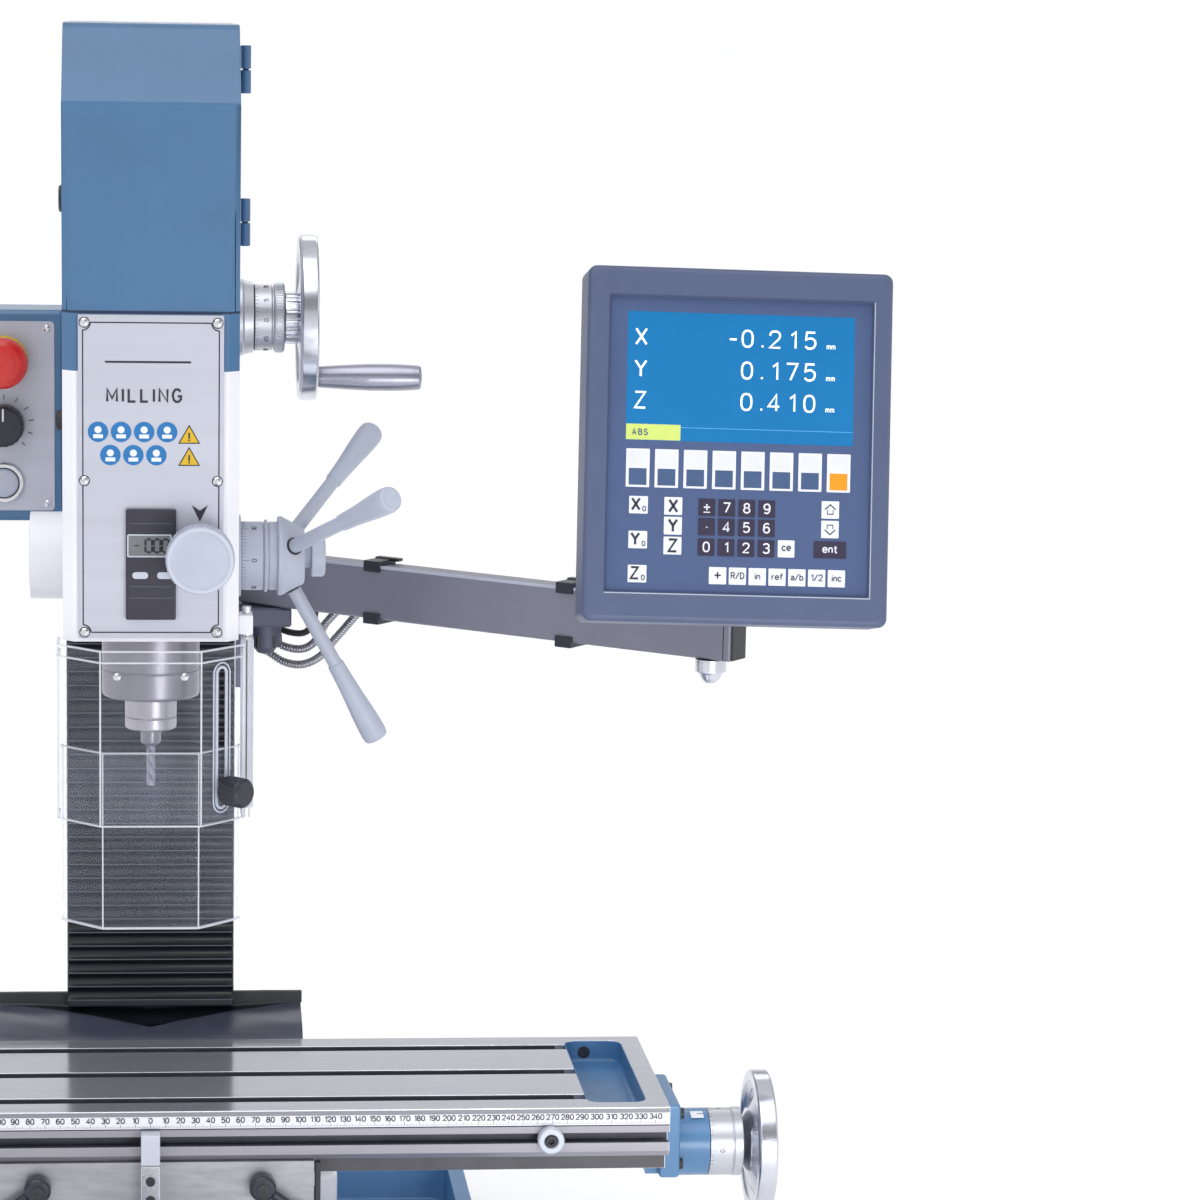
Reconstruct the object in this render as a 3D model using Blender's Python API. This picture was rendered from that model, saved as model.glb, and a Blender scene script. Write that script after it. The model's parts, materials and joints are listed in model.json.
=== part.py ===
"""Bench vertical milling machine: a compound table on a cast base, a dovetail column, a tilting head with
a quill and a lever feed, a clear chip guard, and a position readout on a swivelling arm.

Lengths below are in millimetres and the helpers turn them into metres. X runs along the table to the
right, Y runs back to the column, Z runs up. X = 0, Y = 0 is the spindle axis, and Z = 0 is the underside
of the chip tray.
"""

import math

import bmesh
import bpy
from mathutils import Matrix, Vector

MM = 0.001
GAP = 0.3
FINE = 24
COARSE = 12

# Heights of the main stack, from the floor up.
TRAY_RIM_TOP = 33.0
BASE_TOP = 84.0
DOVETAIL_RISE = 16.0
SADDLE_TOP = 150.6
LIP_TOP = 164.6
TABLE_BOTTOM = 151.0
TABLE_FACE_BOTTOM = 165.0
TABLE_TOP = 200.0
HEAD_BOTTOM = 513.0
HEAD_TOP = 731.0
COVER_TOP = 916.0
COLUMN_TOP = 800.0

# Table and saddle.
TABLE_HALF_X = 350.0
TABLE_HALF_Y = 90.0
TABLE_BODY_HALF_Y = 70.0
TABLE_CHAMFER = 4.5
T_SLOT_PITCH = 63.0
T_SLOT_WIDTH = 12.0
T_SLOT_HALF_X = 300.0
POCKET_X = (295.0, 336.0)
POCKET_Y = (-77.0, 79.0)
POCKET_DEPTH = 16.0
FRONT_SLOT_Z = 178.8
SADDLE_HALF_X = 109.5
WAY_NECK = 38.0
WAY_WIDE = 48.0
X_SCREW_Z = 148.4
X_SCREW_R = 8.0
Y_SCREW_Z = 72.0
Y_SCREW_R = 7.0
Y_WAY_NECK = 43.0
Y_WAY_WIDE = 52.0
HANDWHEEL_R = 50.0
STOP_X = 268.7

# Column, carriage and head.
COLUMN_HALF_X = 61.0
COLUMN_Y = (165.0, 300.0)
COLUMN_WALL = 12.0
WAY_FACE_Y = 151.0
Z_SCREW_Y = 225.0
Z_SCREW_R = 8.0
Z_WHEEL_Z = 705.0
CARRIAGE_Z = (560.0, 700.0)
TILT_Z = 622.0
HEAD_HALF_X = 58.0
HEAD_Y = (-60.0, 105.0)
HOUSING_Y = (40.3, 146.0)
COVER_SHELL = 3.0
DOOR_HINGE = (63.0, 40.0)
MOTOR_Y = 93.0
BELT_Z = (810.0, 830.0)
SPINDLE_PULLEY_R = 30.0
MOTOR_PULLEY_R = 20.0

# Quill, spindle and feed.
QUILL_R = 33.0
QUILL_Z = (467.0, 690.0)
SPINDLE_NOSE_R = 17.5
SPINDLE_NOSE_Z = 444.0
FEED_Y = 43.0
FEED_Z = 556.0
FEED_SHAFT_R = 8.5
FINE_KNOB = (32.0, 572.0)

# Guard and readout.
GUARD_POST = (64.0, -28.0)
UPPER_SHIELD_Z = (394.5, 512.0)
LOWER_SHIELD_Z = (325.0, 444.0)
SHIELD_WALL = 2.0
FACET = (46.0, -76.5)
ARM_PIVOT = (86.0, 285.0)
ARM_END = (406.0, 32.5)
ARM_Z = (485.0, 525.0)
YOKE_PIVOT = (389.6, 45.4)
TILT_PIN = (14.0, 641.0)
CONSOLE_CENTRE = (388.4, -40.0, 641.0)
CONSOLE_SIZE = (204.5, 45.0, 236.0)
CONSOLE_LEAN = 11.0
CONSOLE_ROLL = 1.3

FINISHES = {
    "blue_paint": ((0.08, 0.19, 0.36), 0.42, 0.0),
    "white_paint": ((0.78, 0.79, 0.83), 0.4, 0.0),
    "machined_iron": ((0.42, 0.43, 0.44), 0.38, 0.9),
    "ground_steel": ((0.6, 0.61, 0.63), 0.25, 1.0),
    "polished_steel": ((0.72, 0.73, 0.75), 0.12, 1.0),
    "brushed_aluminium": ((0.62, 0.64, 0.67), 0.35, 1.0),
    "black_steel": ((0.03, 0.03, 0.035), 0.45, 0.6),
    "black_rubber": ((0.015, 0.015, 0.017), 0.7, 0.0),
    "black_plastic": ((0.02, 0.02, 0.023), 0.4, 0.0),
    "grey_plastic": ((0.42, 0.46, 0.55), 0.4, 0.0),
    "console_plastic": ((0.13, 0.16, 0.27), 0.45, 0.0),
    "red_plastic": ((0.7, 0.02, 0.02), 0.35, 0.0),
    "clear_plastic": ((0.85, 0.9, 0.93), 0.05, 0.0),
    "cable_armour": ((0.45, 0.46, 0.48), 0.4, 0.8),
}


def clear_scene():
    for old in list(bpy.data.objects):
        bpy.data.objects.remove(old, do_unlink=True)


def finish(name, kind):
    """The sub-part's own Principled material, in one of the finishes above."""
    colour, roughness, metallic = FINISHES[kind]
    material = bpy.data.materials.new(name)
    material.use_nodes = True
    shader = material.node_tree.nodes["Principled BSDF"]
    shader.inputs["Base Color"].default_value = (*colour, 1.0)
    shader.inputs["Roughness"].default_value = roughness
    shader.inputs["Metallic"].default_value = metallic
    if kind == "clear_plastic":
        shader.inputs["Transmission Weight"].default_value = 0.9
    return material


# Shapes. Each returns a bmesh in millimetres.


def block(low, high):
    bm = bmesh.new()
    bmesh.ops.create_cube(bm, size=1.0)
    size = [high[i] - low[i] for i in range(3)]
    centre = [(high[i] + low[i]) / 2 for i in range(3)]
    bmesh.ops.transform(bm, matrix=Matrix.LocRotScale(centre, None, size), verts=bm.verts)
    return bm


def bevelled(bm, width, segments=1, angle=30.0):
    """Bevel every edge sharper than the angle."""
    edges = [e for e in bm.edges if e.is_manifold and e.calc_face_angle() > math.radians(angle)]
    bmesh.ops.bevel(bm, geom=edges, offset=width, segments=segments, profile=0.5, affect="EDGES")
    return bm


def soft_block(low, high, width, segments=1):
    return bevelled(block(low, high), width, segments)


def prism(outline, start, end, axis="Z"):
    """Extrude a 2D outline along an axis: (x, y) for Z, (y, z) for X, (x, z) for Y."""
    lift = {
        "X": lambda p, t: (t, p[0], p[1]),
        "Y": lambda p, t: (p[0], t, p[1]),
        "Z": lambda p, t: (p[0], p[1], t),
    }[axis]
    bm = bmesh.new()
    ends = [[bm.verts.new(lift(p, t)) for p in outline] for t in (start, end)]
    for ring in ends:
        bm.faces.new(ring)
    count = len(outline)
    for i in range(count):
        j = (i + 1) % count
        bm.faces.new((ends[0][i], ends[0][j], ends[1][j], ends[1][i]))
    bmesh.ops.recalc_face_normals(bm, faces=bm.faces)
    return bm


def turned(profile, axis, centre, steps=FINE):
    """Turn (along, radius) points about an axis: an open profile starts and ends at radius 0, and any
    other profile is closed into a ring."""
    solid_ends = profile[0][1] == 0 and profile[-1][1] == 0
    bm = bmesh.new()
    rings = []
    for along, radius in profile:
        turns = 1 if radius == 0 else steps
        ring = []
        for i in range(turns):
            angle = math.tau * i / steps
            a, b = radius * math.cos(angle), radius * math.sin(angle)
            spot = {"X": (along, a, b), "Y": (b, along, a), "Z": (a, b, along)}[axis]
            ring.append(bm.verts.new([spot[k] + centre[k] for k in range(3)]))
        rings.append(ring)
    pairs = list(zip(rings, rings[1:]))
    if not solid_ends:
        pairs.append((rings[-1], rings[0]))
    for lower, upper in pairs:
        for i in range(steps):
            j = (i + 1) % steps
            corners = [lower[i % len(lower)], lower[j % len(lower)]]
            corners += [upper[j % len(upper)], upper[i % len(upper)]]
            corners = list(dict.fromkeys(corners))
            if len(corners) > 2:
                bm.faces.new(corners)
    bmesh.ops.recalc_face_normals(bm, faces=bm.faces)
    return bm


def rod(start, end, radius, axis, centre, steps=COARSE):
    return turned([(start, 0), (start, radius), (end, radius), (end, 0)], axis, centre, steps)


def rounded_rectangle(half_x, half_y, radius, centre=(0, 0), corner_steps=3):
    outline = []
    for quarter in range(4):
        sign_x = (1, -1, -1, 1)[quarter]
        sign_y = (1, 1, -1, -1)[quarter]
        for i in range(corner_steps + 1):
            angle = math.pi / 2 * (quarter + i / corner_steps)
            outline.append(
                (
                    centre[0] + sign_x * (half_x - radius) + radius * math.cos(angle),
                    centre[1] + sign_y * (half_y - radius) + radius * math.sin(angle),
                )
            )
    return outline


def stacked(rings, closed=False):
    """Join outlines of equal length, each with its height, into one skin. An open stack gets end caps."""
    bm = bmesh.new()
    loops = [[bm.verts.new((x, y, z)) for x, y in outline] for outline, z in rings]
    pairs = list(zip(loops, loops[1:]))
    if closed:
        pairs.append((loops[-1], loops[0]))
    else:
        bm.faces.new(loops[0])
        bm.faces.new(loops[-1])
    count = len(loops[0])
    for lower, upper in pairs:
        for i in range(count):
            j = (i + 1) % count
            bm.faces.new((lower[i], lower[j], upper[j], upper[i]))
    bmesh.ops.recalc_face_normals(bm, faces=bm.faces)
    return bm


def moved(bm, matrix):
    bmesh.ops.transform(bm, matrix=matrix, verts=bm.verts)
    return bm


# Objects.


def add_object(name, bm, pivot=(0, 0, 0)):
    """A mesh object in metres whose origin is at the pivot."""
    shift = Matrix.Scale(MM, 4) @ Matrix.Translation(-Vector(pivot))
    bmesh.ops.transform(bm, matrix=shift, verts=bm.verts)
    mesh = bpy.data.meshes.new(name)
    bm.to_mesh(mesh)
    bm.free()
    obj = bpy.data.objects.new(name, mesh)
    obj.location = Vector(pivot) * MM
    bpy.context.scene.collection.objects.link(obj)
    return obj


def node(name, bm, kind, pivot=(0, 0, 0)):
    obj = add_object(name, bm, pivot)
    obj.data.materials.append(finish(name, kind))
    obj.data.shade_smooth()
    obj.data.set_sharp_from_angle(angle=math.radians(35))
    return obj


def combine(obj, bm, operation):
    helper = add_object(f"{obj.name}_{operation.lower()}_{len(obj.modifiers)}", bm)
    helper.hide_render = True
    helper.display_type = "WIRE"
    modifier = obj.modifiers.new(operation.title(), "BOOLEAN")
    modifier.operation = operation
    modifier.solver = "EXACT"
    modifier.object = helper


def fuse(obj, *shapes):
    for bm in shapes:
        combine(obj, bm, "UNION")


def cut(obj, *shapes):
    for bm in shapes:
        combine(obj, bm, "DIFFERENCE")


# Base and column.


def chip_tray():
    half_x, front, back, wall, flange = 244.5, -232.0, 342.0, 2.5, 10.0
    centre = (0, (front + back) / 2)
    half_y = (back - front) / 2

    def outline(inset, radius):
        return rounded_rectangle(half_x - inset, half_y - inset, radius, centre)

    rings = [
        (outline(flange, 16), 0.0),
        (outline(flange, 16), TRAY_RIM_TOP - 2.5),
        (outline(0, 24), TRAY_RIM_TOP - 2.5),
        (outline(0, 24), TRAY_RIM_TOP),
        (outline(flange + wall, 14), TRAY_RIM_TOP),
        (outline(flange + wall, 14), 3.0),
    ]
    node("chip_tray", stacked(rings), "blue_paint")


def base_casting():
    bottom = 3.3
    right = [(105, -205), (105, 120), (137, 140), (137, 325)]
    outline = right + [(-x, y) for x, y in right[::-1]]
    base = node("base_casting", bevelled(prism(outline, bottom, BASE_TOP), 3.0), "white_paint")
    rail = [
        (-Y_WAY_NECK, BASE_TOP - 2),
        (Y_WAY_NECK, BASE_TOP - 2),
        (Y_WAY_NECK, BASE_TOP),
        (Y_WAY_WIDE, BASE_TOP + DOVETAIL_RISE),
        (-Y_WAY_WIDE, BASE_TOP + DOVETAIL_RISE),
        (-Y_WAY_NECK, BASE_TOP),
    ]
    fuse(base, prism(rail, -205, 130, "Y"))
    cut(base, block((-16, -206, 54), (16, 131, 101)))
    cut(base, block((-90, -190, 2), (90, 125, 42)), block((-122, 148, 2), (122, 310, 70)))
    cut(base, block((-60, 124, 2), (60, 149, 42)))


def column():
    half, wall = COLUMN_HALF_X, COLUMN_WALL
    front, back = COLUMN_Y
    outline = [
        (-half, front),
        (-WAY_NECK, front),
        (-WAY_WIDE, WAY_FACE_Y),
        (WAY_WIDE, WAY_FACE_Y),
        (WAY_NECK, front),
        (half, front),
        (half, back),
        (-half, back),
    ]
    post = node("column", bevelled(prism(outline, BASE_TOP + GAP, COLUMN_TOP), 1.5), "white_paint")
    fuse(post, rod(half - 2, 74.0, 25.5, "X", (0, Z_SCREW_Y, Z_WHEEL_Z), 24))
    fuse(post, block((26, back - 1, 318), (62, back + 11, 338)))
    low, high = (wall - half, front + wall), (half - wall, back - wall)
    cut(post, block((*low, BASE_TOP - 1), (*high, COLUMN_TOP - wall)))
    cut(post, block((-15, WAY_FACE_Y - 2, 440), (15, front + wall + 1, 688)))
    cut(post, rod(half - wall - 2, 76, 8.8, "X", (0, Z_SCREW_Y, Z_WHEEL_Z), 16))


def column_bellows():
    """Folded cover of the column's ways. It stands between the carriage and the foot of the column."""
    low, high, pitch, depth = 222.0, CARRIAGE_Z[0] - 0.4, 16.0, 5.0
    folds = round((high - low) / pitch)
    front, back, half = 131.0, WAY_FACE_Y - 0.4, 59.7
    rings = []
    for i in range(2 * folds + 1):
        inset = depth * (i % 2)
        z = low + (high - low) * i / (2 * folds)
        side = half - inset
        rings.append((((-side, back), (side, back), (side, front + inset), (-side, front + inset)), z))
    node("column_bellows", stacked(rings), "black_rubber")


def rear_way_sheet():
    """Rubber sheet from the column's foot to the back of the saddle."""
    path = [(150.0, 221.0), (148.0, 219.0), (125.0, 206.0), (104.0, 200.5), (96.0, 199.0), (95.0, 160.0)]
    inner = [(150.0, 218.4), (149.0, 216.4), (126.0, 203.4), (105.0, 198.0), (98.5, 196.5), (97.5, 160.0)]
    node("rear_way_sheet", prism(path + inner[::-1], -109, 109, "X"), "black_rubber")


def y_screw_bracket():
    bracket = node("y_screw_bracket", soft_block((-45, -222, 46), (45, -205.3, 98), 2.0), "blue_paint")
    fuse(bracket, rod(-238, -220, 22, "Y", (0, 0, Y_SCREW_Z), 24))
    cut(bracket, rod(-240, -204, Y_SCREW_R + GAP + 0.3, "Y", (0, 0, Y_SCREW_Z)))


def y_scale():
    scale = node("y_scale", soft_block((105.3, -150, 56), (121, 118, 82), 1.5), "black_steel")
    fuse(scale, soft_block((121 - 1, -40, 60), (126, 10, 79), 1.0))


# Saddle and table.


def saddle():
    half_y = TABLE_HALF_Y
    outline = [
        (-half_y, BASE_TOP + 0.4),
        (half_y, BASE_TOP + 0.4),
        (half_y, LIP_TOP),
        (half_y - 17, LIP_TOP),
        (half_y - 17, SADDLE_TOP),
        (WAY_NECK, SADDLE_TOP),
        (WAY_WIDE, SADDLE_TOP + DOVETAIL_RISE),
        (-WAY_WIDE, SADDLE_TOP + DOVETAIL_RISE),
        (-WAY_NECK, SADDLE_TOP),
        (17 - half_y, SADDLE_TOP),
        (17 - half_y, LIP_TOP),
        (-half_y, LIP_TOP),
    ]
    body = node("saddle", prism(outline, -SADDLE_HALF_X, SADDLE_HALF_X, "X"), "machined_iron")
    low, high = BASE_TOP - 1, BASE_TOP + DOVETAIL_RISE + 0.4
    groove = [
        (-Y_WAY_NECK - 0.5, low),
        (Y_WAY_NECK + 0.5, low),
        (Y_WAY_NECK + 0.5, BASE_TOP + 0.4),
        (Y_WAY_WIDE + 0.5, high),
        (-Y_WAY_WIDE - 0.5, high),
        (-Y_WAY_NECK - 0.5, BASE_TOP + 0.4),
    ]
    cut(body, prism(groove, -half_y - 1, half_y + 1, "Y"))
    for side in (-1, 1):
        ends = sorted((side * 20, side * (SADDLE_HALF_X + 1)))
        cut(body, block((ends[0], -14, 137), (ends[1], 14, 168)))
    cut(body, rod(-22, 22, X_SCREW_R + 0.6, "X", (0, 0, X_SCREW_Z)))
    fuse(body, block((-11, -16, 60), (11, 16, high + 3)))
    cut(body, rod(-18, 18, Y_SCREW_R + 0.6, "Y", (0, 0, Y_SCREW_Z)))


def table_stop_block():
    stop = node("table_stop_block", soft_block((-6.4, -102, 135), (6.4, -90.6, 187), 0.8), "ground_steel")
    for height in (142, 155):
        cut(stop, rod(-103, -100, 2.6, "Y", (0, 0, height), 8))


def x_lock_lever(name, side):
    x, z = side * 75.0, 149.0
    pivot = (x, -90.0, z)
    lever = node(name, rod(-104, -90.3, 9, "Y", (x, 0, z), 20), "black_plastic", pivot)
    shank = rod(0, 52, 4.0, "X", (0, 0, 0), 12)
    tip = turned([(44, 0), (44, 4.5), (50, 6.5), (58, 6.5), (62, 3), (63, 0)], "X", (0, 0, 0), 12)
    angle = 35.0 if side > 0 else 145.0
    for shape in (shank, tip):
        turn = Matrix.Translation((x, -99, z)) @ Matrix.Rotation(math.radians(angle), 4, "Y")
        fuse(lever, moved(shape, turn))


def table():
    half_y, body_y = TABLE_HALF_Y, TABLE_BODY_HALF_Y
    ceiling = TABLE_BOTTOM + DOVETAIL_RISE
    outline = [
        (TABLE_CHAMFER - half_y, TABLE_FACE_BOTTOM),
        (-half_y, TABLE_FACE_BOTTOM + TABLE_CHAMFER),
        (-half_y, TABLE_TOP),
        (half_y, TABLE_TOP),
        (half_y, TABLE_FACE_BOTTOM + TABLE_CHAMFER),
        (half_y - TABLE_CHAMFER, TABLE_FACE_BOTTOM),
        (body_y, TABLE_FACE_BOTTOM),
        (body_y, TABLE_BOTTOM),
        (WAY_NECK + 0.5, TABLE_BOTTOM),
        (WAY_WIDE + 0.5, ceiling),
        (-WAY_WIDE - 0.5, ceiling),
        (-WAY_NECK - 0.5, TABLE_BOTTOM),
        (-body_y, TABLE_BOTTOM),
        (-body_y, TABLE_FACE_BOTTOM),
    ]
    top = node("table", prism(outline, -TABLE_HALF_X, TABLE_HALF_X, "X"), "machined_iron")
    neck, wide, floor, step = T_SLOT_WIDTH / 2, 10.5, 180.0, 188.0
    slot_side = [(neck, TABLE_TOP + 1), (neck, step), (wide, step), (wide, floor)]
    slot = [(-y, z) for y, z in slot_side] + slot_side[::-1]
    for pitch in (-T_SLOT_PITCH, 0.0, T_SLOT_PITCH):
        cut(top, prism([(y + pitch, z) for y, z in slot], -T_SLOT_HALF_X, T_SLOT_HALF_X, "X"))
    centre_y = sum(POCKET_Y) / 2
    half_pocket = ((POCKET_X[1] - POCKET_X[0]) / 2, (POCKET_Y[1] - POCKET_Y[0]) / 2)
    for side in (-1, 1):
        pocket = rounded_rectangle(*half_pocket, 9, (side * sum(POCKET_X) / 2, centre_y))
        cut(top, prism(pocket, TABLE_TOP - POCKET_DEPTH, TABLE_TOP + 1))
    upper_half = [(-91, 3.5), (-85, 3.5), (-85, 6.8), (-79, 6.8)]
    front = [(y, FRONT_SLOT_Z + rise) for y, rise in upper_half]
    front += [(y, FRONT_SLOT_Z - rise) for y, rise in upper_half[::-1]]
    cut(top, prism(front, -TABLE_HALF_X - 1, TABLE_HALF_X + 1, "X"))


def end_bracket(name, side):
    """Blue end plate with the screw's bearing housing."""
    inner, outer, boss = TABLE_HALF_X + GAP, 364.7, 388.2

    def span(a, b):
        return sorted((side * a, side * b))

    x0, x1 = span(inner, outer)
    plate = node(name, soft_block((x0, -40, 134), (x1, 40, 186.5), 2.5, 2), "blue_paint")
    x0, x1 = span(342.0, inner + 4)
    fuse(plate, block((x0, -30, 134.5), (x1, 30, SADDLE_TOP)))
    x0, x1 = span(outer - 4, boss)
    fuse(plate, rod(x0, x1, 23.5, "X", (0, 0, X_SCREW_Z), FINE))
    x0, x1 = span(340, 390)
    cut(plate, rod(x0, x1, X_SCREW_R + 0.5, "X", (0, 0, X_SCREW_Z)))


def x_leadscrew():
    r, end, stub = X_SCREW_R, 388.2, 430.0
    half = [(end, r), (end, 6.0), (stub, 6.0), (stub, 0)]
    profile = [(-x, radius) for x, radius in half[::-1]] + half
    node("x_leadscrew", turned(profile, "X", (0, 0, X_SCREW_Z), 16), "ground_steel", (0, 0, X_SCREW_Z))


def wheel_profile(start, rim, bore, radius):
    """Hub, dished web and rounded rim, from the face on the hub's side, as a closed ring."""
    end = rim + 13.0
    return [
        (start, bore),
        (start, 14.0),
        (rim + 3.5, radius - 11),
        (rim, radius - 6),
        (rim + 3, radius),
        (end - 3, radius),
        (end, radius - 6),
        (end - 5, radius - 11),
        (end - 1, 15.0),
        (end - 1, bore),
    ]


def wheel_windows(wheel, rim, radius, axis, centre, side=1):
    """Three windows between the spokes of the web."""
    inner, outer = 20.0, radius - 15
    for spoke in range(3):
        outline = []
        for r, turns in ((outer, range(4)), (inner, range(3, -1, -1))):
            for i in turns:
                angle = math.radians(120 * spoke + 26 + 68 * i / 3)
                outline.append((r * math.cos(angle), r * math.sin(angle)))
        spots = [(u + centre[0], v + centre[1]) for u, v in outline]
        ends = sorted((side * (rim - 2), side * (rim + 15)))
        cut(wheel, prism(spots, *ends, axis))


def x_handwheel(name, side):
    centre = (0, 0, X_SCREW_Z)
    profile = [(side * along, r) for along, r in wheel_profile(412.3, 419.0, 6.4, HANDWHEEL_R)]
    wheel = node(name, turned(profile, "X", centre, FINE), "polished_steel", centre)
    wheel_windows(wheel, 419.0, HANDWHEEL_R, "X", (0, X_SCREW_Z), side)


def x_dial(name, side):
    points = [(388.6, 6.4), (388.6, 23.5), (407, 23.5), (408, 24.0), (411.9, 24.0), (411.9, 6.4)]
    profile = [(side * along, r) for along, r in points]
    node(name, turned(profile, "X", (0, 0, X_SCREW_Z), FINE), "brushed_aluminium", (0, 0, X_SCREW_Z))


def table_stop(name, side):
    x = side * STOP_X
    ring = rod(-98.5, -90.4, 9.0, "Y", (x, 0, FRONT_SLOT_Z), 24)
    stop = node(name, ring, "ground_steel", (x, -90, FRONT_SLOT_Z))
    fuse(stop, block((x - 4, -92, FRONT_SLOT_Z - 3), (x + 4, -84, FRONT_SLOT_Z + 3)))
    fuse(stop, block((x - 7, -84.5, FRONT_SLOT_Z - 6), (x + 7, -79.5, FRONT_SLOT_Z + 6)))
    cut(stop, rod(-99, -95.5, 3.0, "Y", (x, 0, FRONT_SLOT_Z), 6))


def y_leadscrew():
    r = Y_SCREW_R
    profile = [(-273, 0), (-273, 5), (-239, 5), (-239, r), (115, r), (115, 0)]
    node("y_leadscrew", turned(profile, "Y", (0, 0, Y_SCREW_Z), 16), "ground_steel", (0, 0, Y_SCREW_Z))


def y_handwheel():
    centre = (0, 0, Y_SCREW_Z)
    dial = [(239.4, 5.4), (239.4, 23.5), (254, 23.5), (255, 24), (258, 24)]
    profile = [(-a, r) for a, r in dial + wheel_profile(258.3, 262.0, 5.4, HANDWHEEL_R)[1:]]
    wheel = node("y_handwheel", turned(profile, "Y", centre, FINE), "polished_steel", centre)
    wheel_windows(wheel, 262.0, HANDWHEEL_R, "Y", (0, Y_SCREW_Z), -1)


# Z feed.


def z_handwheel():
    centre = (0, Z_SCREW_Y, Z_WHEEL_Z)
    profile = [
        (14, 0),
        (14, 12),
        (26, 24),
        (30, 24),
        (30, 8),
        (97, 8),
        (97, 19.5),
        (105.6, 19.5),
        (109, 49),
        (106.5, 54),
        (109, 60),
        (117, 60),
        (120, 54),
        (116, 49),
        (119, 15),
        (119, 0),
    ]
    node("z_handwheel", turned(profile, "X", centre, FINE), "polished_steel", centre)


def z_dial():
    points = [(74.4, 8.4), (74.4, 23), (88, 23), (88.6, 21.5), (89.4, 24), (96.6, 24), (96.6, 8.4)]
    centre = (0, Z_SCREW_Y, Z_WHEEL_Z)
    node("z_dial", turned(points, "X", centre, FINE), "brushed_aluminium", centre)


def z_handwheel_grip():
    centre = (0, Z_SCREW_Y, Z_WHEEL_Z - 43)
    points = [(120.4, 0), (120.4, 7.5), (124, 8), (180, 9.5), (192, 9.2), (196, 7), (197, 4), (197, 0)]
    node("z_handwheel_grip", turned(points, "X", centre, 20), "grey_plastic", centre)


def z_leadscrew():
    top = Z_WHEEL_Z - 14
    points = [(432, 0), (432, 8), (top - 16, 8), (top - 16, 24), (top - 12, 24), (top, 12), (top, 0)]
    node("z_leadscrew", turned(points, "Z", (0, Z_SCREW_Y, 0), 24), "ground_steel", (0, Z_SCREW_Y, 0))


def head_carriage():
    low, high = CARRIAGE_Z
    front, back = 108.0, 164.6
    outline = [
        (-HEAD_HALF_X, front),
        (HEAD_HALF_X, front),
        (HEAD_HALF_X, back),
        (WAY_NECK + 0.5, back),
        (WAY_WIDE + 0.5, WAY_FACE_Y - 0.4),
        (-WAY_WIDE - 0.5, WAY_FACE_Y - 0.4),
        (-WAY_NECK - 0.5, back),
        (-HEAD_HALF_X, back),
    ]
    slide = node("head_carriage", bevelled(prism(outline, low, high), 1.0), "white_paint")
    fuse(slide, block((-12.5, 145, 565), (12.5, Z_SCREW_Y + 13, 597)))
    cut(slide, rod(560, 600, Z_SCREW_R + 0.6, "Z", (0, Z_SCREW_Y, 0)))


# Head.


def head_outline(half, front, back, chamfer):
    return [
        (-half + chamfer, front),
        (half - chamfer, front),
        (half, front + chamfer),
        (half, back),
        (-half, back),
        (-half, front + chamfer),
    ]


def head_casting():
    outline = head_outline(HEAD_HALF_X, *HEAD_Y, 7.5)
    head = node("head_casting", prism(outline, HEAD_BOTTOM, HEAD_TOP), "white_paint", (0, 106, TILT_Z))
    fuse(head, rod(HEAD_Y[1] - 2, 107.6, 50, "Y", (0, 0, TILT_Z), FINE))
    fuse(head, rod(56, 61, 26.5, "X", (0, FEED_Y, FEED_Z), 24))
    fuse(head, rod(-82, -56, 30, "X", (0, FEED_Y, FEED_Z), 24))
    cut(head, rod(HEAD_BOTTOM - 1, 700, QUILL_R + 0.5, "Z", (0, 0, 0), FINE))
    cut(head, rod(699, HEAD_TOP + 1, 17, "Z", (0, 0, 0)))
    cut(head, rod(-60, 63, FEED_SHAFT_R + 0.5, "X", (0, FEED_Y, FEED_Z)))
    cut(head, block((-18, 25, 545), (18, 54, 567)))
    cut(head, rod(-62, -36, 5.6, "Y", (FINE_KNOB[0], 0, FINE_KNOB[1]), 12))


def drive_housing():
    half, wall = HEAD_HALF_X, COVER_SHELL
    front, back = HOUSING_Y
    low = HEAD_TOP + GAP
    body = bevelled(block((-half, front, low), (half, back, COVER_TOP)), 2.0)
    housing = node("drive_housing", body, "blue_paint")
    cut(housing, block((wall - half, front - 3, low + wall), (half - wall, back - wall, COVER_TOP - wall)))


def cover_side(inset, bottom):
    """Side outline (y, z) of the cover door: upright front, then slanted back to the flat top."""
    front, back = HEAD_Y[0] + inset, DOOR_HINGE[1]
    top, lean = COVER_TOP - inset, inset * 0.4
    return [(back, bottom), (front, bottom), (front, 866 - lean), (lean - 10, top), (back, top)]


def cover_door():
    half, wall, low = HEAD_HALF_X, COVER_SHELL, HEAD_TOP + GAP
    pivot = (*DOOR_HINGE, low)
    door = node("cover_door", bevelled(prism(cover_side(0, low), -half, half, "X"), 2.0), "blue_paint", pivot)
    hollow = [(y + 2 * (y == DOOR_HINGE[1]), z) for y, z in cover_side(wall, low - 2)]
    cut(door, prism(hollow, wall - half, half - wall, "X"))


def drive_motor():
    low = HEAD_TOP + GAP + COVER_SHELL + GAP
    case = [(low, 0), (low, 43), (low + 3, 44), (792, 44), (795, 41), (795, 16), (799, 14)]
    profile = case + [(799, 6), (846, 6), (846, 0)]
    node("drive_motor", turned(profile, "Z", (0, MOTOR_Y, 0), FINE), "black_steel", (0, MOTOR_Y, 0))


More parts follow.
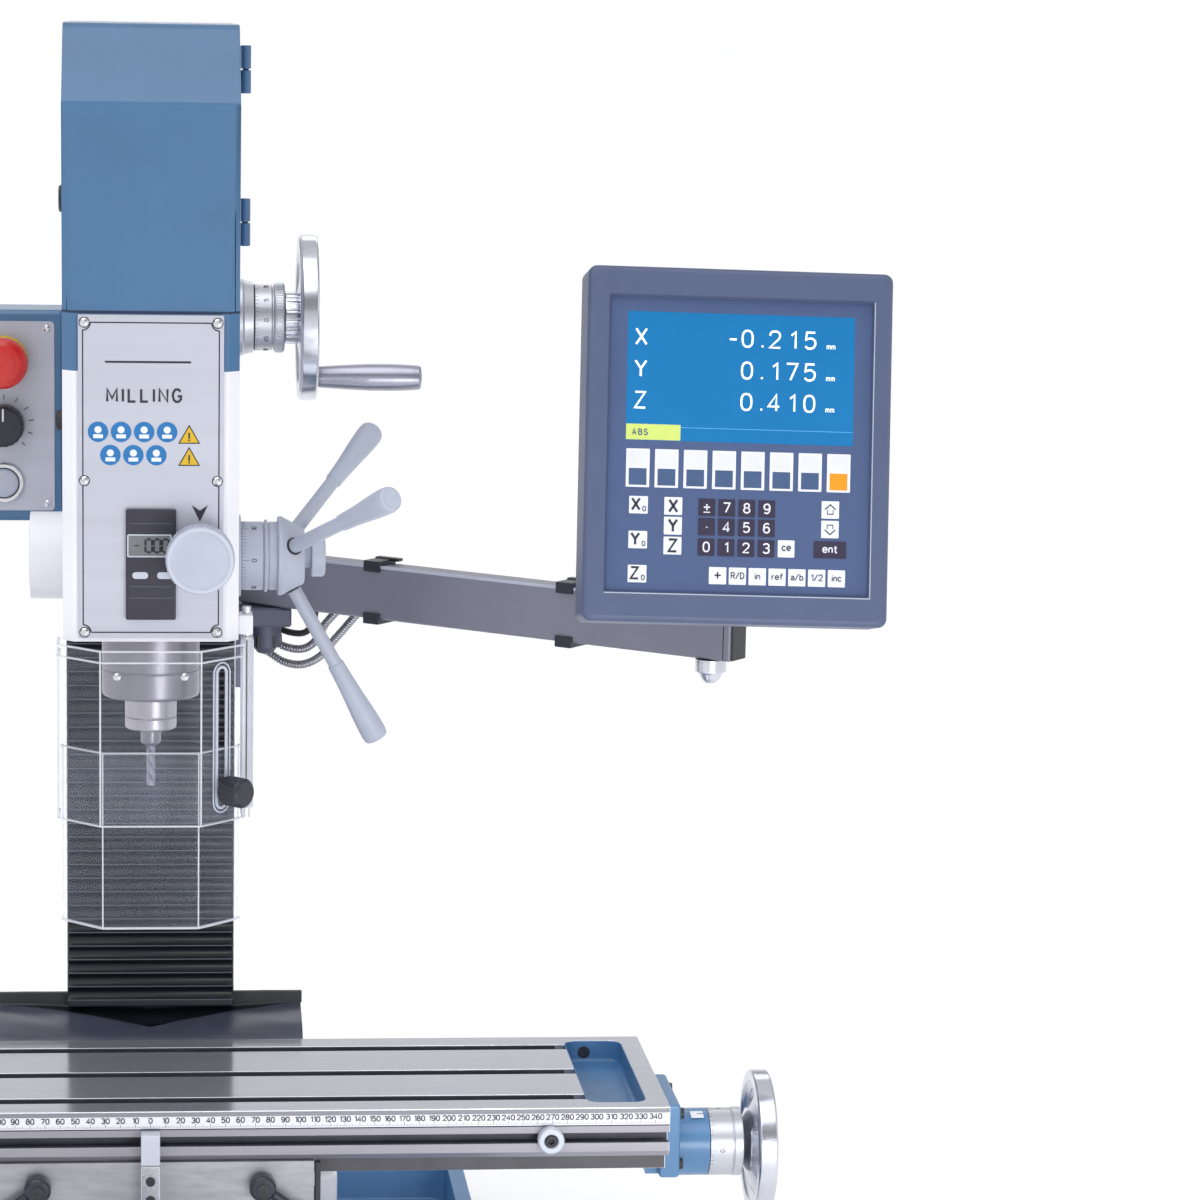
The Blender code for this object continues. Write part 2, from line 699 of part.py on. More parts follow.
def pulley(name, y, radius, bore, low, high):
    flange = radius + 3
    profile = [
        (low, bore),
        (low, flange),
        (low + 3, flange),
        (low + 4, radius),
        (high - 4, radius),
        (high - 3, flange),
        (high, flange),
        (high, bore),
    ]
    node(name, turned(profile, "Z", (0, y, 0), FINE), "brushed_aluminium", (0, y, 0))


def drive_belt():
    """Flat loop round both pulleys. The straight runs touch both rounds."""
    thickness, clear = 2.5, 0.8
    lean = math.asin((SPINDLE_PULLEY_R - MOTOR_PULLEY_R) / MOTOR_Y)

    def loop(extra):
        big, small, steps = SPINDLE_PULLEY_R + extra, MOTOR_PULLEY_R + extra, 14
        outline = []
        for i in range(steps + 1):
            angle = math.pi - lean + (math.pi + 2 * lean) * i / steps
            outline.append((big * math.cos(angle), big * math.sin(angle)))
        for i in range(steps + 1):
            angle = lean + (math.pi - 2 * lean) * i / steps
            outline.append((small * math.cos(angle), MOTOR_Y + small * math.sin(angle)))
        return outline

    inner, outer = loop(clear), loop(clear + thickness)
    low, high = BELT_Z
    rings = [(inner, low), (inner, high), (outer, high), (outer, low)]
    node("drive_belt", stacked(rings, closed=True), "black_rubber")


def front_panel():
    panel = node("front_panel", soft_block((-47.5, -63, 516), (47.5, -60.3, 729), 0.6), "brushed_aluminium")
    cut(panel, rod(-64, -59, 6.2, "Y", (FINE_KNOB[0], 0, FINE_KNOB[1])))


def depth_readout():
    node("depth_readout", soft_block((-16.4, -67, 528.6), (16.4, -63.3, 602), 1.5, 2), "black_plastic")


def quill():
    low, high = QUILL_Z
    points = [(low, 15.5), (low, QUILL_R - 1.5), (low + 1.5, QUILL_R), (high, QUILL_R), (high, 15.5)]
    node("quill", turned(points, "Z", (0, 0, 0), FINE), "ground_steel")


def spindle():
    nose, low = SPINDLE_NOSE_Z, QUILL_Z[0]
    points = [
        (nose + 30, 0),
        (nose + 30, 7.4),
        (nose, 7.4),
        (nose, SPINDLE_NOSE_R - 1),
        (nose + 1, SPINDLE_NOSE_R),
        (low - GAP, SPINDLE_NOSE_R),
        (low - GAP, 15),
        (700, 15),
        (702, 9),
        (899, 9),
        (900, 8),
        (900, 0),
    ]
    node("spindle", turned(points, "Z", (0, 0, 0), 24), "polished_steel")


def end_mill():
    nose = SPINDLE_NOSE_Z
    points = [(nose + 28, 0), (nose + 28, 7), (nose - 10, 7), (nose - 12, 3), (nose - 40, 3), (nose - 40, 0)]
    node("end_mill", turned(points, "Z", (0, 0, 0), 12), "ground_steel")


def feed_hub():
    centre = (0, FEED_Y, FEED_Z)
    points = [
        (-56, 0),
        (-56, FEED_SHAFT_R),
        (61.4, FEED_SHAFT_R),
        (61.4, 23.5),
        (86.4, 23.5),
        (86.6, 27),
        (90, 27),
        (104.9, 19),
        (105.5, 8),
        (109.5, 8),
        (109.5, 14),
        (118, 14),
        (119.5, 12),
        (119.5, 0),
    ]
    node("feed_hub", turned(points, "X", centre, FINE), "grey_plastic", centre)


def feed_lever(number):
    """Lever with a flared grip. It leaves the hub's cone square to the slope."""
    centre = Vector((0, FEED_Y, FEED_Z))
    length, slope = 119.5, math.radians(61)
    round_angle = math.radians((35, 155, 275)[number - 1])
    outward = Vector((0, math.cos(round_angle), math.sin(round_angle)))
    along = Vector((math.cos(slope), 0, 0)) + outward * math.sin(slope)
    start = centre + Vector((99.4, 0, 0)) + outward * 26.0
    grip = length - 62.0
    points = [(0, 0), (0, 5), (grip, 5), (grip, 5.6), (length - 12, 8.8), (length - 4, 8.6)]
    points += [(length, 5), (length, 0)]
    turn = Vector((0, 0, 1)).rotation_difference(along).to_matrix().to_4x4()
    shape = moved(turned(points, "Z", (0, 0, 0), 12), Matrix.Translation(start) @ turn)
    node(f"feed_lever_{number}", shape, "grey_plastic", centre)


def fine_feed_knob():
    x, z = FINE_KNOB
    points = [(-95, 0), (-95, 21), (-92, 22.3), (-78, 22), (-76, 20), (-76, 5), (-40, 5), (-40, 0)]
    node("fine_feed_knob", turned(points, "Y", (x, 0, z), FINE), "grey_plastic", (x, 0, z))


# Guard.


def guard_post():
    x, y = GUARD_POST
    post = node("guard_post", rod(388, 532, 3.0, "Z", (x, y, 0), 12), "black_steel", (x, y, 0))
    fuse(post, soft_block((58.3, y - 9, 514), (x + 4, y + 9, 527), 1.0))


def shield_outline(out):
    """Plan of a shield, offset outwards, from the hinge side round the front to the far side."""
    slant = out * 0.414
    right = [(60 + out, -34), (60 + out, -62.5 - slant), (32 + slant, -90.5 - out)]
    return right + [(-x, y) for x, y in right[::-1]]


def shield(name, out, span, pivot):
    path = shield_outline(out + SHIELD_WALL) + shield_outline(out)[::-1]
    return node(name, prism(path, *span), "clear_plastic", pivot)


def upper_shield():
    x, y = GUARD_POST
    low, high = UPPER_SHIELD_Z
    panel = shield("upper_shield", 0.0, UPPER_SHIELD_Z, (x, y, 0))
    fuse(panel, soft_block((x - 4, y - 7, low), (x + 4.5, y + 7, high), 1.0))
    cut(panel, rod(low - 1, high + 1, 3.4, "Z", (x, y, 0), 12))
    slot = block((-3.2, -4, low + 14), (3.2, 4, high - 6))
    turn = Matrix.Translation((*FACET, 0)) @ Matrix.Rotation(math.radians(45), 4, "Z")
    cut(panel, moved(slot, turn))


def lower_shield():
    x, y = GUARD_POST
    shield("lower_shield", -0.4 - SHIELD_WALL, LOWER_SHIELD_Z, (x, y, 0))


def shield_knob():
    """Clamp knob on the slanted facet, with its shank through the slot."""
    face = Matrix.Translation((*FACET, 417)) @ Matrix.Rotation(math.radians(-45), 4, "Z")
    shank = [(-0.1, 0), (-0.1, 2.5), (2.4, 2.5), (2.4, 5.5), (5.5, 5.5)]
    points = shank + [(5.5, 9), (7, 10), (21, 10), (23, 8), (23, 0)]
    shape = moved(turned(points, "X", (0, 0, 0), 16), face)
    node("shield_knob", shape, "black_plastic", (*FACET, 417))


# Readout.


def dro_arm_bracket():
    x, y = ARM_PIVOT
    shelf = soft_block((61.3, y - 20, 470), (x + 19, y + 14.5, 484.4), 1.5)
    lug = node("dro_arm_bracket", shelf, "black_steel")
    fuse(lug, soft_block((61.3, y - 24, 425), (68, y + 14.5, 483), 1.0))
    bolt = [(446, 0), (448, 6), (452, 9), (453, 12), (471, 12), (471, 6)]
    bolt += [(525.4, 6), (525.4, 11), (532, 11), (533, 9), (533, 0)]
    fuse(lug, turned(bolt, "Z", (x, y, 0), 16))


def dro_arm():
    start, end = Vector(ARM_PIVOT), Vector(ARM_END)
    along = (end - start).normalized()
    across = Vector((-along.y, along.x)) * 10
    tail = start - along * 18
    corners = [tuple(c) for c in (tail + across, tail - across, end - across, end + across)]
    low = ARM_Z[0]
    arm = node("dro_arm", bevelled(prism(corners, *ARM_Z), 1.5), "black_steel", (*ARM_PIVOT, 0))
    cut(arm, rod(low - 1, ARM_Z[1] + 1, 6.4, "Z", (*ARM_PIVOT, 0)))
    cut(arm, rod(low - 1, ARM_Z[1] + 1, 5.4, "Z", (*YOKE_PIVOT, 0)))


def dro_yoke():
    """Bolt through the arm's end, an upright and two cheeks that hold the console's tilt pin."""
    x, y = YOKE_PIVOT
    pin_y, pin_z = TILT_PIN
    top = ARM_Z[1] + 0.4
    yoke = node("dro_yoke", rod(top - 52, top + 2, 5, "Z", (x, y, 0)), "black_steel", (x, y, 0))
    fuse(yoke, turned([(468, 0), (470, 6), (475, 9), (484.5, 9), (484.5, 0)], "Z", (x, y, 0), 16))
    fuse(yoke, soft_block((x - 15, y - 12, top), (x + 15, y + 12, top + 6), 1.5))
    fuse(yoke, block((x - 14, y - 3, top + 3), (x + 14, y + 5, pin_z + 14)))
    for side in (-1, 1):
        ends = sorted((x + side * 10, x + side * 14))
        fuse(yoke, block((ends[0], pin_y - 9, pin_z - 14), (ends[1], y, pin_z + 14)))
    fuse(yoke, rod(x - 18, x + 18, 4, "X", (0, pin_y, pin_z), 12))


def dro_console():
    size = Vector(CONSOLE_SIZE)
    pin_y, pin_z = TILT_PIN
    shape = bevelled(block(-size / 2, size / 2), 5.0, 2)
    lean = Matrix.Rotation(math.radians(-CONSOLE_LEAN), 4, "X")
    roll = Matrix.Rotation(math.radians(CONSOLE_ROLL), 4, "Y")
    pivot = (YOKE_PIVOT[0], pin_y, pin_z)
    placed = moved(shape, Matrix.Translation(CONSOLE_CENTRE) @ lean @ roll)
    console = node("dro_console", placed, "console_plastic", pivot)
    x = YOKE_PIVOT[0]
    fuse(console, block((x - 9.4, -25, pin_z - 9), (x + 9.4, pin_y, pin_z + 9)))
    fuse(console, rod(x - 9.4, x + 9.4, 9, "X", (0, pin_y, pin_z), 16))
    cut(console, rod(x - 12, x + 12, 4.5, "X", (0, pin_y, pin_z), 12))


# Left control box.


def control_box():
    case = soft_block((-148, 186, 560), (-COLUMN_HALF_X - GAP, 240, 712), 3.0)
    box = node("control_box", case, "blue_paint")
    for x, z, r in ((-105, 676, 11), (-105, 630, 5.5), (-105, 588, 12)):
        cut(box, rod(183, 209, r, "Y", (x, 0, z)))


def emergency_stop_button():
    points = [(152, 0), (153, 12), (157, 17), (166, 17), (168, 9), (203, 9), (203, 0)]
    node("emergency_stop_button", turned(points, "Y", (-105, 0, 676), 24), "red_plastic", (-105, 186, 676))


def speed_knob():
    points = [(166, 0), (166, 13), (168, 15), (182, 15), (182, 5), (203, 5), (203, 0)]
    node("speed_knob", turned(points, "Y", (-105, 0, 630), 24), "black_plastic", (-105, 186, 630))


def start_switch():
    points = [(180, 0), (181, 10), (203, 10.5), (203, 0)]
    node("start_switch", turned(points, "Y", (-105, 0, 588), 20), "grey_plastic", (-105, 186, 588))


# Cables of the three scales.

CABLES = ("x_scale_cable", "y_scale_cable", "z_scale_cable")
CABLE_RADII = (3.2, 3.2, 2.5)


def along_arm(distance, offset, height):
    """A point beside the readout's arm: so far from the pivot, so far behind the centre line."""
    start, end = Vector(ARM_PIVOT), Vector(ARM_END)
    along = (end - start).normalized()
    spot = start + along * distance + Vector((-along.y, along.x)) * offset
    return (spot.x, spot.y, height)


def cable_route(index):
    """From the clamp behind the column, in a low loop to the arm, along its back and up to the console."""
    column_x, lift, back = 56 - 11 * index, 12 * index, 6 * index
    level = 495.0 + 10 * index
    offset = 10.5 + CABLE_RADII[index]
    leave, console_x = 330 - 20 * index, 356.0 - 13 * index
    points = [(column_x, 306, 338.4), (column_x, 308, 370), (column_x + 1, 309, 405)]
    points += [(column_x + 6, 309, 436 + lift), (74, 309, 450 + lift), (88, 305, 445 + lift)]
    points += [(101, 299, 438 + lift), (115, 289, 438 + lift)]
    points += [(128 - back / 2, 276 + back / 2, 447 + lift), (139 - back, 264 + back, 463 + lift)]
    points += [along_arm(t, offset, level) for t in (90 - back, 120, 150, 200, 250, leave - 30, leave)]
    x, y, z = along_arm(leave + 14, offset, 536)
    points += [(x, y, z), (console_x, y - 22, 566), (console_x, 36, 594)]
    return points + [(console_x, 6, 607), (console_x, -22.4, 609)]


def smooth_route(points, steps=2):
    """Catmull-Rom curve through the route's points."""
    spots = [Vector(p) for p in points]
    spots = [spots[0] * 2 - spots[1]] + spots + [spots[-1] * 2 - spots[-2]]
    route = []
    for a, b, c, d in zip(spots, spots[1:], spots[2:], spots[3:]):
        for i in range(steps):
            t = i / steps
            square, cube = 2 * a - 5 * b + 4 * c - d, 3 * b - a - 3 * c + d
            route.append(0.5 * (2 * b + (c - a) * t + square * t**2 + cube * t**3))
    return route + [spots[-2]]


def cable(index):
    name, route = CABLES[index], smooth_route(cable_route(index))
    curve = bpy.data.curves.new(name, "CURVE")
    curve.dimensions = "3D"
    curve.bevel_depth = CABLE_RADII[index] * MM
    curve.bevel_resolution = 2
    curve.use_fill_caps = True
    spline = curve.splines.new("POLY")
    spline.points.add(len(route) - 1)
    for point, spot in zip(spline.points, route):
        point.co = (*(spot * MM), 1.0)
    curve.materials.append(finish(name, "cable_armour"))
    obj = bpy.data.objects.new(name, curve)
    bpy.context.scene.collection.objects.link(obj)


def build():
    clear_scene()
    chip_tray()
    base_casting()
    column()
    column_bellows()
    rear_way_sheet()
    y_screw_bracket()
    y_scale()
    saddle()
    table_stop_block()
    table()
    x_leadscrew()
    y_leadscrew()
    y_handwheel()
    for word, side in (("right", 1), ("left", -1)):
        x_lock_lever(f"x_lock_lever_{word}", side)
        end_bracket(f"{word}_end_bracket", side)
        x_handwheel(f"x_handwheel_{word}", side)
        x_dial(f"x_dial_{word}", side)
        table_stop(f"table_stop_{word}", side)
    z_handwheel()
    z_dial()
    z_handwheel_grip()
    z_leadscrew()
    head_carriage()
    head_casting()
    drive_housing()
    cover_door()
    drive_motor()
    pulley("spindle_pulley", 0.0, SPINDLE_PULLEY_R, 9.5, 804, 836)
    pulley("motor_pulley", MOTOR_Y, MOTOR_PULLEY_R, 6.4, 804, 836)
    drive_belt()
    front_panel()
    depth_readout()
    quill()
    spindle()
    end_mill()
    feed_hub()
    for number in (1, 2, 3):
        feed_lever(number)
    fine_feed_knob()
    guard_post()
    upper_shield()
    lower_shield()
    shield_knob()
    dro_arm_bracket()
    dro_arm()
    dro_yoke()
    dro_console()
    control_box()
    emergency_stop_button()
    speed_knob()
    start_switch()
    for index in range(len(CABLES)):
        cable(index)


build()
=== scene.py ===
"""Looks of the bench vertical milling machine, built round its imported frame.

Lengths are in millimetres in the frame's own axes, and place() turns them into metres: X runs right along
the table, Y back to the column, Z up, with the spindle on X = 0, Y = 0 and the tray's underside at Z = 0.
"""

import json
import math

import bmesh
import bpy
from mathutils import Matrix, Vector

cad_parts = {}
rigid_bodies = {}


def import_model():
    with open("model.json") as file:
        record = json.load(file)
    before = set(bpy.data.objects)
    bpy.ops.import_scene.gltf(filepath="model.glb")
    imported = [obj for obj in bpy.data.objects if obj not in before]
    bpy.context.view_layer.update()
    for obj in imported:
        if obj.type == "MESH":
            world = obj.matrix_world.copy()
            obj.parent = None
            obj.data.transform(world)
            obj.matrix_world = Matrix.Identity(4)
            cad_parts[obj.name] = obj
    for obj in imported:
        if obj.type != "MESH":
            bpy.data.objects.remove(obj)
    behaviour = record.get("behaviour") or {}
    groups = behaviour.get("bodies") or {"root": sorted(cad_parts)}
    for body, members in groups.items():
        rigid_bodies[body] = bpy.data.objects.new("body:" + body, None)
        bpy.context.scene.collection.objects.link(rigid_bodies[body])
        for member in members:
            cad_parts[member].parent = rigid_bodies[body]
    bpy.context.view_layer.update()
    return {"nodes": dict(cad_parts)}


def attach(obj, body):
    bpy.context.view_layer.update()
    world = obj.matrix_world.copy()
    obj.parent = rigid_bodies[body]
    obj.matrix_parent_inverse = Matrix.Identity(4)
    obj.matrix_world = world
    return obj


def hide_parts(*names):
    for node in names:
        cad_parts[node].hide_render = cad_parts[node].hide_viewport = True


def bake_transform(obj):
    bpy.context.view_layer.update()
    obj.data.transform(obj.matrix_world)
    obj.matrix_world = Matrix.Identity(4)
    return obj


MM = 0.001
ROUND = 96
SMALL = 32


def spun(degrees, axis):
    return Matrix.Rotation(math.radians(degrees), 4, axis)


for leftover in list(bpy.data.objects):
    bpy.data.objects.remove(leftover, do_unlink=True)
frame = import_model()

# Places that repeat the CAD model's.
TABLE_TOP = 200.0
TABLE_FRONT = -90.0
X_SCREW_Z = 148.4
Y_SCREW_Z = 72.0
FRONT_SLOT_Z = 178.8
STOP_X = 268.7
POCKET_X = (295.0, 336.0)
POCKET_Y = (-77.0, 79.0)
POCKET_DEPTH = 16.0
Z_SCREW_Y = 225.0
Z_WHEEL_Z = 705.0
HEAD_HALF_X = 58.0
HEAD_FRONT = -60.0
HEAD_Z = (513.0, 731.0)
COVER_TOP = 916.0
COVER_BACK = 40.0
PLATE_FACE = -63.0
FEED = (43.0, 556.0)
FINE_KNOB = (32.0, 572.0)
QUILL_R = 33.0
ARM_PIVOT = (86.0, 285.0)
ARM_END = (406.0, 32.5)
ARM_Z = (485.0, 525.0)
YOKE_PIVOT = (389.6, 45.4)
TILT_PIN = (14.0, 641.0)
GUARD_POST = (64.0, -28.0)
FACET = (46.0, -76.5)
CONSOLE_SIZE = (204.5, 45.0, 236.0)
CONSOLE = (
    Matrix.Translation((388.4, -40.0, 641.0))
    @ spun(-11.0, "X")
    @ spun(1.3, "Y")
)

# Materials.


def srgb(red, green, blue):
    """Linear colour of display values from 0 to 255."""
    values = []
    for value in (red / 255, green / 255, blue / 255):
        values.append(value / 12.92 if value <= 0.04045 else ((value + 0.055) / 1.055) ** 2.4)
    return tuple(values)


def scaled(colour, factor):
    return tuple(min(1.0, value * factor) for value in colour)


def surface(
    name,
    colour,
    roughness,
    metallic=0.0,
    spread=0.06,
    scale=25.0,
    stretch=(1, 1, 1),
    grain=0.12,
    grain_scale=700.0,
    uneven=0.05,
    coat=0.0,
    alpha=1.0,
    glow=0.0,
):
    """Principled material whose colour, roughness and relief vary: broad patches and a fine grain, both
    stretched along an axis for a ground or brushed face."""
    material = bpy.data.materials.new(name)
    material.use_nodes = True
    tree = material.node_tree
    shader = tree.nodes["Principled BSDF"]
    shader.inputs["Metallic"].default_value = metallic
    shader.inputs["Coat Weight"].default_value = coat
    shader.inputs["Coat Roughness"].default_value = 0.12
    shader.inputs["Alpha"].default_value = alpha
    place_of = tree.nodes.new("ShaderNodeTexCoord")
    mapping = tree.nodes.new("ShaderNodeMapping")
    mapping.inputs["Scale"].default_value = stretch
    tree.links.new(place_of.outputs["Object"], mapping.inputs["Vector"])

    def noise(noise_scale, detail):
        node = tree.nodes.new("ShaderNodeTexNoise")
        node.inputs["Scale"].default_value = noise_scale
        node.inputs["Detail"].default_value = detail
        tree.links.new(mapping.outputs["Vector"], node.inputs["Vector"])
        return node.outputs["Fac"]

    broad, fine = noise(scale, 4.0), noise(grain_scale, 3.0)
    both = tree.nodes.new("ShaderNodeMath")
    both.operation = "MULTIPLY_ADD"
    both.inputs[1].default_value = 0.4
    tree.links.new(fine, both.inputs[0])
    tree.links.new(broad, both.inputs[2])
    colours = tree.nodes.new("ShaderNodeValToRGB")
    colours.color_ramp.elements[0].position = 0.45
    colours.color_ramp.elements[1].position = 0.95
    colours.color_ramp.elements[0].color = (*scaled(colour, 1 - spread), 1)
    colours.color_ramp.elements[1].color = (*scaled(colour, 1 + spread), 1)
    tree.links.new(both.outputs[0], colours.inputs["Fac"])
    tree.links.new(colours.outputs["Color"], shader.inputs["Base Color"])
    if glow:
        tree.links.new(colours.outputs["Color"], shader.inputs["Emission Color"])
        shader.inputs["Emission Strength"].default_value = glow
    rough = tree.nodes.new("ShaderNodeMapRange")
    rough.inputs["From Min"].default_value = 0.3
    rough.inputs["From Max"].default_value = 0.7
    rough.inputs["To Min"].default_value = max(0.02, roughness - uneven)
    rough.inputs["To Max"].default_value = roughness + uneven
    tree.links.new(fine, rough.inputs["Value"])
    tree.links.new(rough.outputs["Result"], shader.inputs["Roughness"])
    bump = tree.nodes.new("ShaderNodeBump")
    bump.inputs["Strength"].default_value = grain
    bump.inputs["Distance"].default_value = 0.0002
    tree.links.new(fine, bump.inputs["Height"])
    tree.links.new(bump.outputs["Normal"], shader.inputs["Normal"])
    return material


def two_tone(material, upper, boundary, axis="Z"):
    """Paint the upper colour above a height on a material made by surface()."""
    tree = material.node_tree
    shader = tree.nodes["Principled BSDF"]
    below = shader.inputs["Base Color"].links[0].from_socket
    place_of = tree.nodes.new("ShaderNodeTexCoord")
    split = tree.nodes.new("ShaderNodeSeparateXYZ")
    above = tree.nodes.new("ShaderNodeMath")
    above.operation = "GREATER_THAN"
    above.inputs[1].default_value = boundary * MM
    mix = tree.nodes.new("ShaderNodeMix")
    mix.data_type = "RGBA"
    tree.links.new(place_of.outputs["Object"], split.inputs["Vector"])
    tree.links.new(split.outputs[axis], above.inputs[0])
    tree.links.new(above.outputs[0], mix.inputs["Factor"])
    tree.links.new(below, mix.inputs["A"])
    mix.inputs["B"].default_value = (*upper, 1)
    tree.links.new(mix.outputs["Result"], shader.inputs["Base Color"])
    return material


BLUE = srgb(63, 106, 146)
WHITE = srgb(230, 231, 238)
LOOKS = {}


def look(name, slot, *values, **extras):
    """Adds a look: its name, the slot its pieces share, then what surface() takes."""
    LOOKS[name] = (slot, surface(name, *values, **extras))


look("blue", "blue_paint", BLUE, 0.34, spread=0.07, grain=0.1, grain_scale=450, coat=0.25)
look(
    "pocket_blue", "blue_paint", srgb(68, 114, 160), 0.38, spread=0.22, scale=40, stretch=(1, 0.25, 1),
    coat=0.2
)
# A lighter copy of the blue paint: painted light on the chip tray under the table; the end brackets use it
# too.
look("lit_blue", "blue_paint", srgb(82, 128, 172), 0.34, spread=0.07, grain=0.1, grain_scale=450, coat=0.25)
look("navy", "blue_paint", srgb(22, 42, 78), 0.5)
look("white", "white_paint", WHITE, 0.36, spread=0.03, grain=0.1, grain_scale=450, coat=0.2)
LOOKS["head"] = (
        "white_paint",
        two_tone(surface("head", WHITE, 0.36, spread=0.03, grain=0.1, grain_scale=450, coat=0.2), BLUE, 692),
    )
look("table", "machined_iron", (0.8, 0.82, 0.9), 0.15, 0.8, 0.04, 260, (0.03, 1, 1), 0.0, 900, 0.0)
look("iron", "machined_iron", (0.36, 0.36, 0.39), 0.42, 0.75, 0.12, 60, (1, 1, 4), 0.25)
look("steel", "ground_steel", (0.6, 0.61, 0.64), 0.24, 1.0, 0.06, 60, (1, 1, 6), 0.1)
look("shaft", "ground_steel", (0.6, 0.6, 0.63), 0.22, 1.0, 0.06, 60, (0.05, 1, 1), 0.12)
look("chrome", "polished_steel", (0.6, 0.62, 0.68), 0.2, 1.0, 0.08, 60, (1, 1, 1), 0.08, 900, 0.05)
look("dial", "brushed_aluminium", (0.58, 0.6, 0.65), 0.36, 0.8, 0.06, 60, (0.05, 1, 1), 0.15, 700, 0.05)
look("plate", "brushed_aluminium", srgb(184, 187, 199), 0.42, 0.35, 0.05, 90, (0.03, 1, 1), 0.1, 900, 0.05)
look("grip", "grey_plastic", (0.36, 0.37, 0.44), 0.3, 0.85, 0.06, 60, (0.05, 1, 1), 0.08)
# A lighter copy of the black rubber sheet, painted light on the hanging part of the way sheet.
look("sheet_lit", "black_rubber", srgb(66, 71, 86), 0.33, 0.0, 0.16, 50, (1, 1, 1), 0.05)
# Lighter copy of the black rubber for the bellows' fold crests: painted highlights.
look("lip", "black_rubber", srgb(84, 86, 100), 0.4, 0.0, 0.15, 50)
# front and edge: darker, duller copies of the table's ground iron for its front face and top edge, painted
# shade.
look("front", "machined_iron", srgb(150, 148, 157), 0.34, 0.35, 0.1, 120, (0.03, 1, 1), 0.08)
look("edge", "machined_iron", srgb(132, 132, 140), 0.4, 0.35, 0.1, 120, (0.03, 1, 1), 0.08)
look("tool", "ground_steel", (0.25, 0.24, 0.28), 0.34, 0.9, 0.08, 60, (1, 1, 6), 0.1)
look("tool_light", "ground_steel", (0.42, 0.4, 0.45), 0.34, 0.9, 0.08, 60, (1, 1, 6), 0.1)
# Near-black iron for the inner faces of the table's slots: painted shade.
look("slot", "machined_iron", (0.07, 0.073, 0.09), 0.45, 0.3, 0.2, 60)
# Near-black iron for the recessed lower side of the table: painted shade.
look("lower_side_shade", "machined_iron", (0.09, 0.088, 0.098), 0.5, 0.2, 0.15, 60)
look("ring", "ground_steel", srgb(188, 194, 206), 0.34, 0.2, 0.05, 60)
look("hinge", "blue_paint", srgb(62, 99, 140), 0.36, spread=0.07, coat=0.2)
look("screw", "polished_steel", (0.62, 0.63, 0.66), 0.2, 1.0, 0.06, 200)
look("black_steel", "black_steel", (0.035, 0.036, 0.042), 0.42, 0.3, 0.2, 40)
look("arm", "black_steel", srgb(124, 126, 140), 0.38, 0.3, 0.1, 14, (1, 1, 1), 0.08)
look("bracket", "black_steel", srgb(82, 86, 104), 0.45, 0.2, 0.12, 60)
look("rubber", "black_rubber", srgb(11, 13, 24), 0.42, 0.0, 0.2, 60, (1, 1, 1), 0.05)
look("sheet", "black_rubber", srgb(22, 23, 31), 0.35, 0.0, 0.25, 50, (1, 1, 1), 0.05)
look("black", "black_plastic", (0.016, 0.018, 0.03), 0.36, 0.0, 0.2, 60)
look("ink", "black_plastic", (0.02, 0.02, 0.035), 0.6, 0.0, 0.15, 200)
look("readout", "black_plastic", srgb(40, 38, 54), 0.4, 0.0, 0.1, 80)
look("lcd", "black_plastic", srgb(112, 116, 118), 0.22, 0.0, 0.06, 80)
look("grey", "grey_plastic", srgb(172, 179, 195), 0.4, 0.0, 0.05, 40, grain=0.18)
look("grey_light", "grey_plastic", srgb(186, 192, 206), 0.36, 0.0, 0.04, 60)
look("console", "console_plastic", srgb(77, 88, 119), 0.46, 0.0, 0.05, 40, grain=0.3)
look("panel", "console_plastic", srgb(66, 85, 126), 0.48, 0.0, 0.05, 60, grain=0.15)
look("screen", "console_plastic", srgb(6, 104, 160), 0.16, 0.0, 0.03, 20, grain=0.0, glow=0.25)
look("screen_ink", "console_plastic", srgb(240, 248, 255), 0.2, grain=0.0, glow=0.5)
look("screen_line", "console_plastic", srgb(90, 165, 220), 0.2, grain=0.0, glow=0.2)
look("status", "console_plastic", srgb(190, 206, 110), 0.3, grain=0.0, glow=0.2)
look("key_white", "console_plastic", srgb(222, 225, 236), 0.42, spread=0.03, scale=90)
look("key_pale", "console_plastic", srgb(216, 219, 234), 0.42, spread=0.03, scale=90)
look("key_dark", "console_plastic", srgb(44, 38, 64), 0.42, spread=0.1, scale=90)
look("key_blue", "console_plastic", srgb(62, 86, 124), 0.42, spread=0.1, scale=90)
look("key_orange", "console_plastic", srgb(244, 146, 10), 0.42, spread=0.05, scale=90)
look("disc_blue", "brushed_aluminium", srgb(14, 108, 172), 0.4, spread=0.05, scale=90)
look("sign_yellow", "brushed_aluminium", srgb(206, 168, 16), 0.4, spread=0.05, scale=90)
look("ruler", "brushed_aluminium", srgb(222, 224, 230), 0.34, 0.1, 0.04, 60, (0.05, 1, 1))
look("red", "red_plastic", (0.62, 0.015, 0.012), 0.3, 0.0, 0.08, 40, coat=0.3)
look(
    "clear", "clear_plastic", (0.5, 0.56, 0.7), 0.05, 0.0, 0.25, 60, (1, 1, 0.12), grain=0.0, uneven=0.02,
    alpha=0.05
)
# Lighter, less clear plastic for bands along the guards' rims and bends, painted highlights; the guard's
# hinge block is made of it too.
look("clear_edge", "clear_plastic", (0.8, 0.83, 0.88), 0.12, 0.0, 0.05, 60, grain=0.0, uneven=0.02, alpha=0.5)
look("armour", "cable_armour", (0.36, 0.36, 0.4), 0.3, 0.9, 0.1, 300)
look("cord_black", "black_rubber", (0.03, 0.03, 0.035), 0.5, 0.0, 0.2, 120)

# Shapes. Each returns a bmesh in millimetres.


def block(low, high):
    bm = bmesh.new()
    bmesh.ops.create_cube(bm, size=1.0)
    size = [high[i] - low[i] for i in range(3)]
    centre = [(high[i] + low[i]) / 2 for i in range(3)]
    bmesh.ops.transform(bm, matrix=Matrix.LocRotScale(centre, None, size), verts=bm.verts)
    return bm


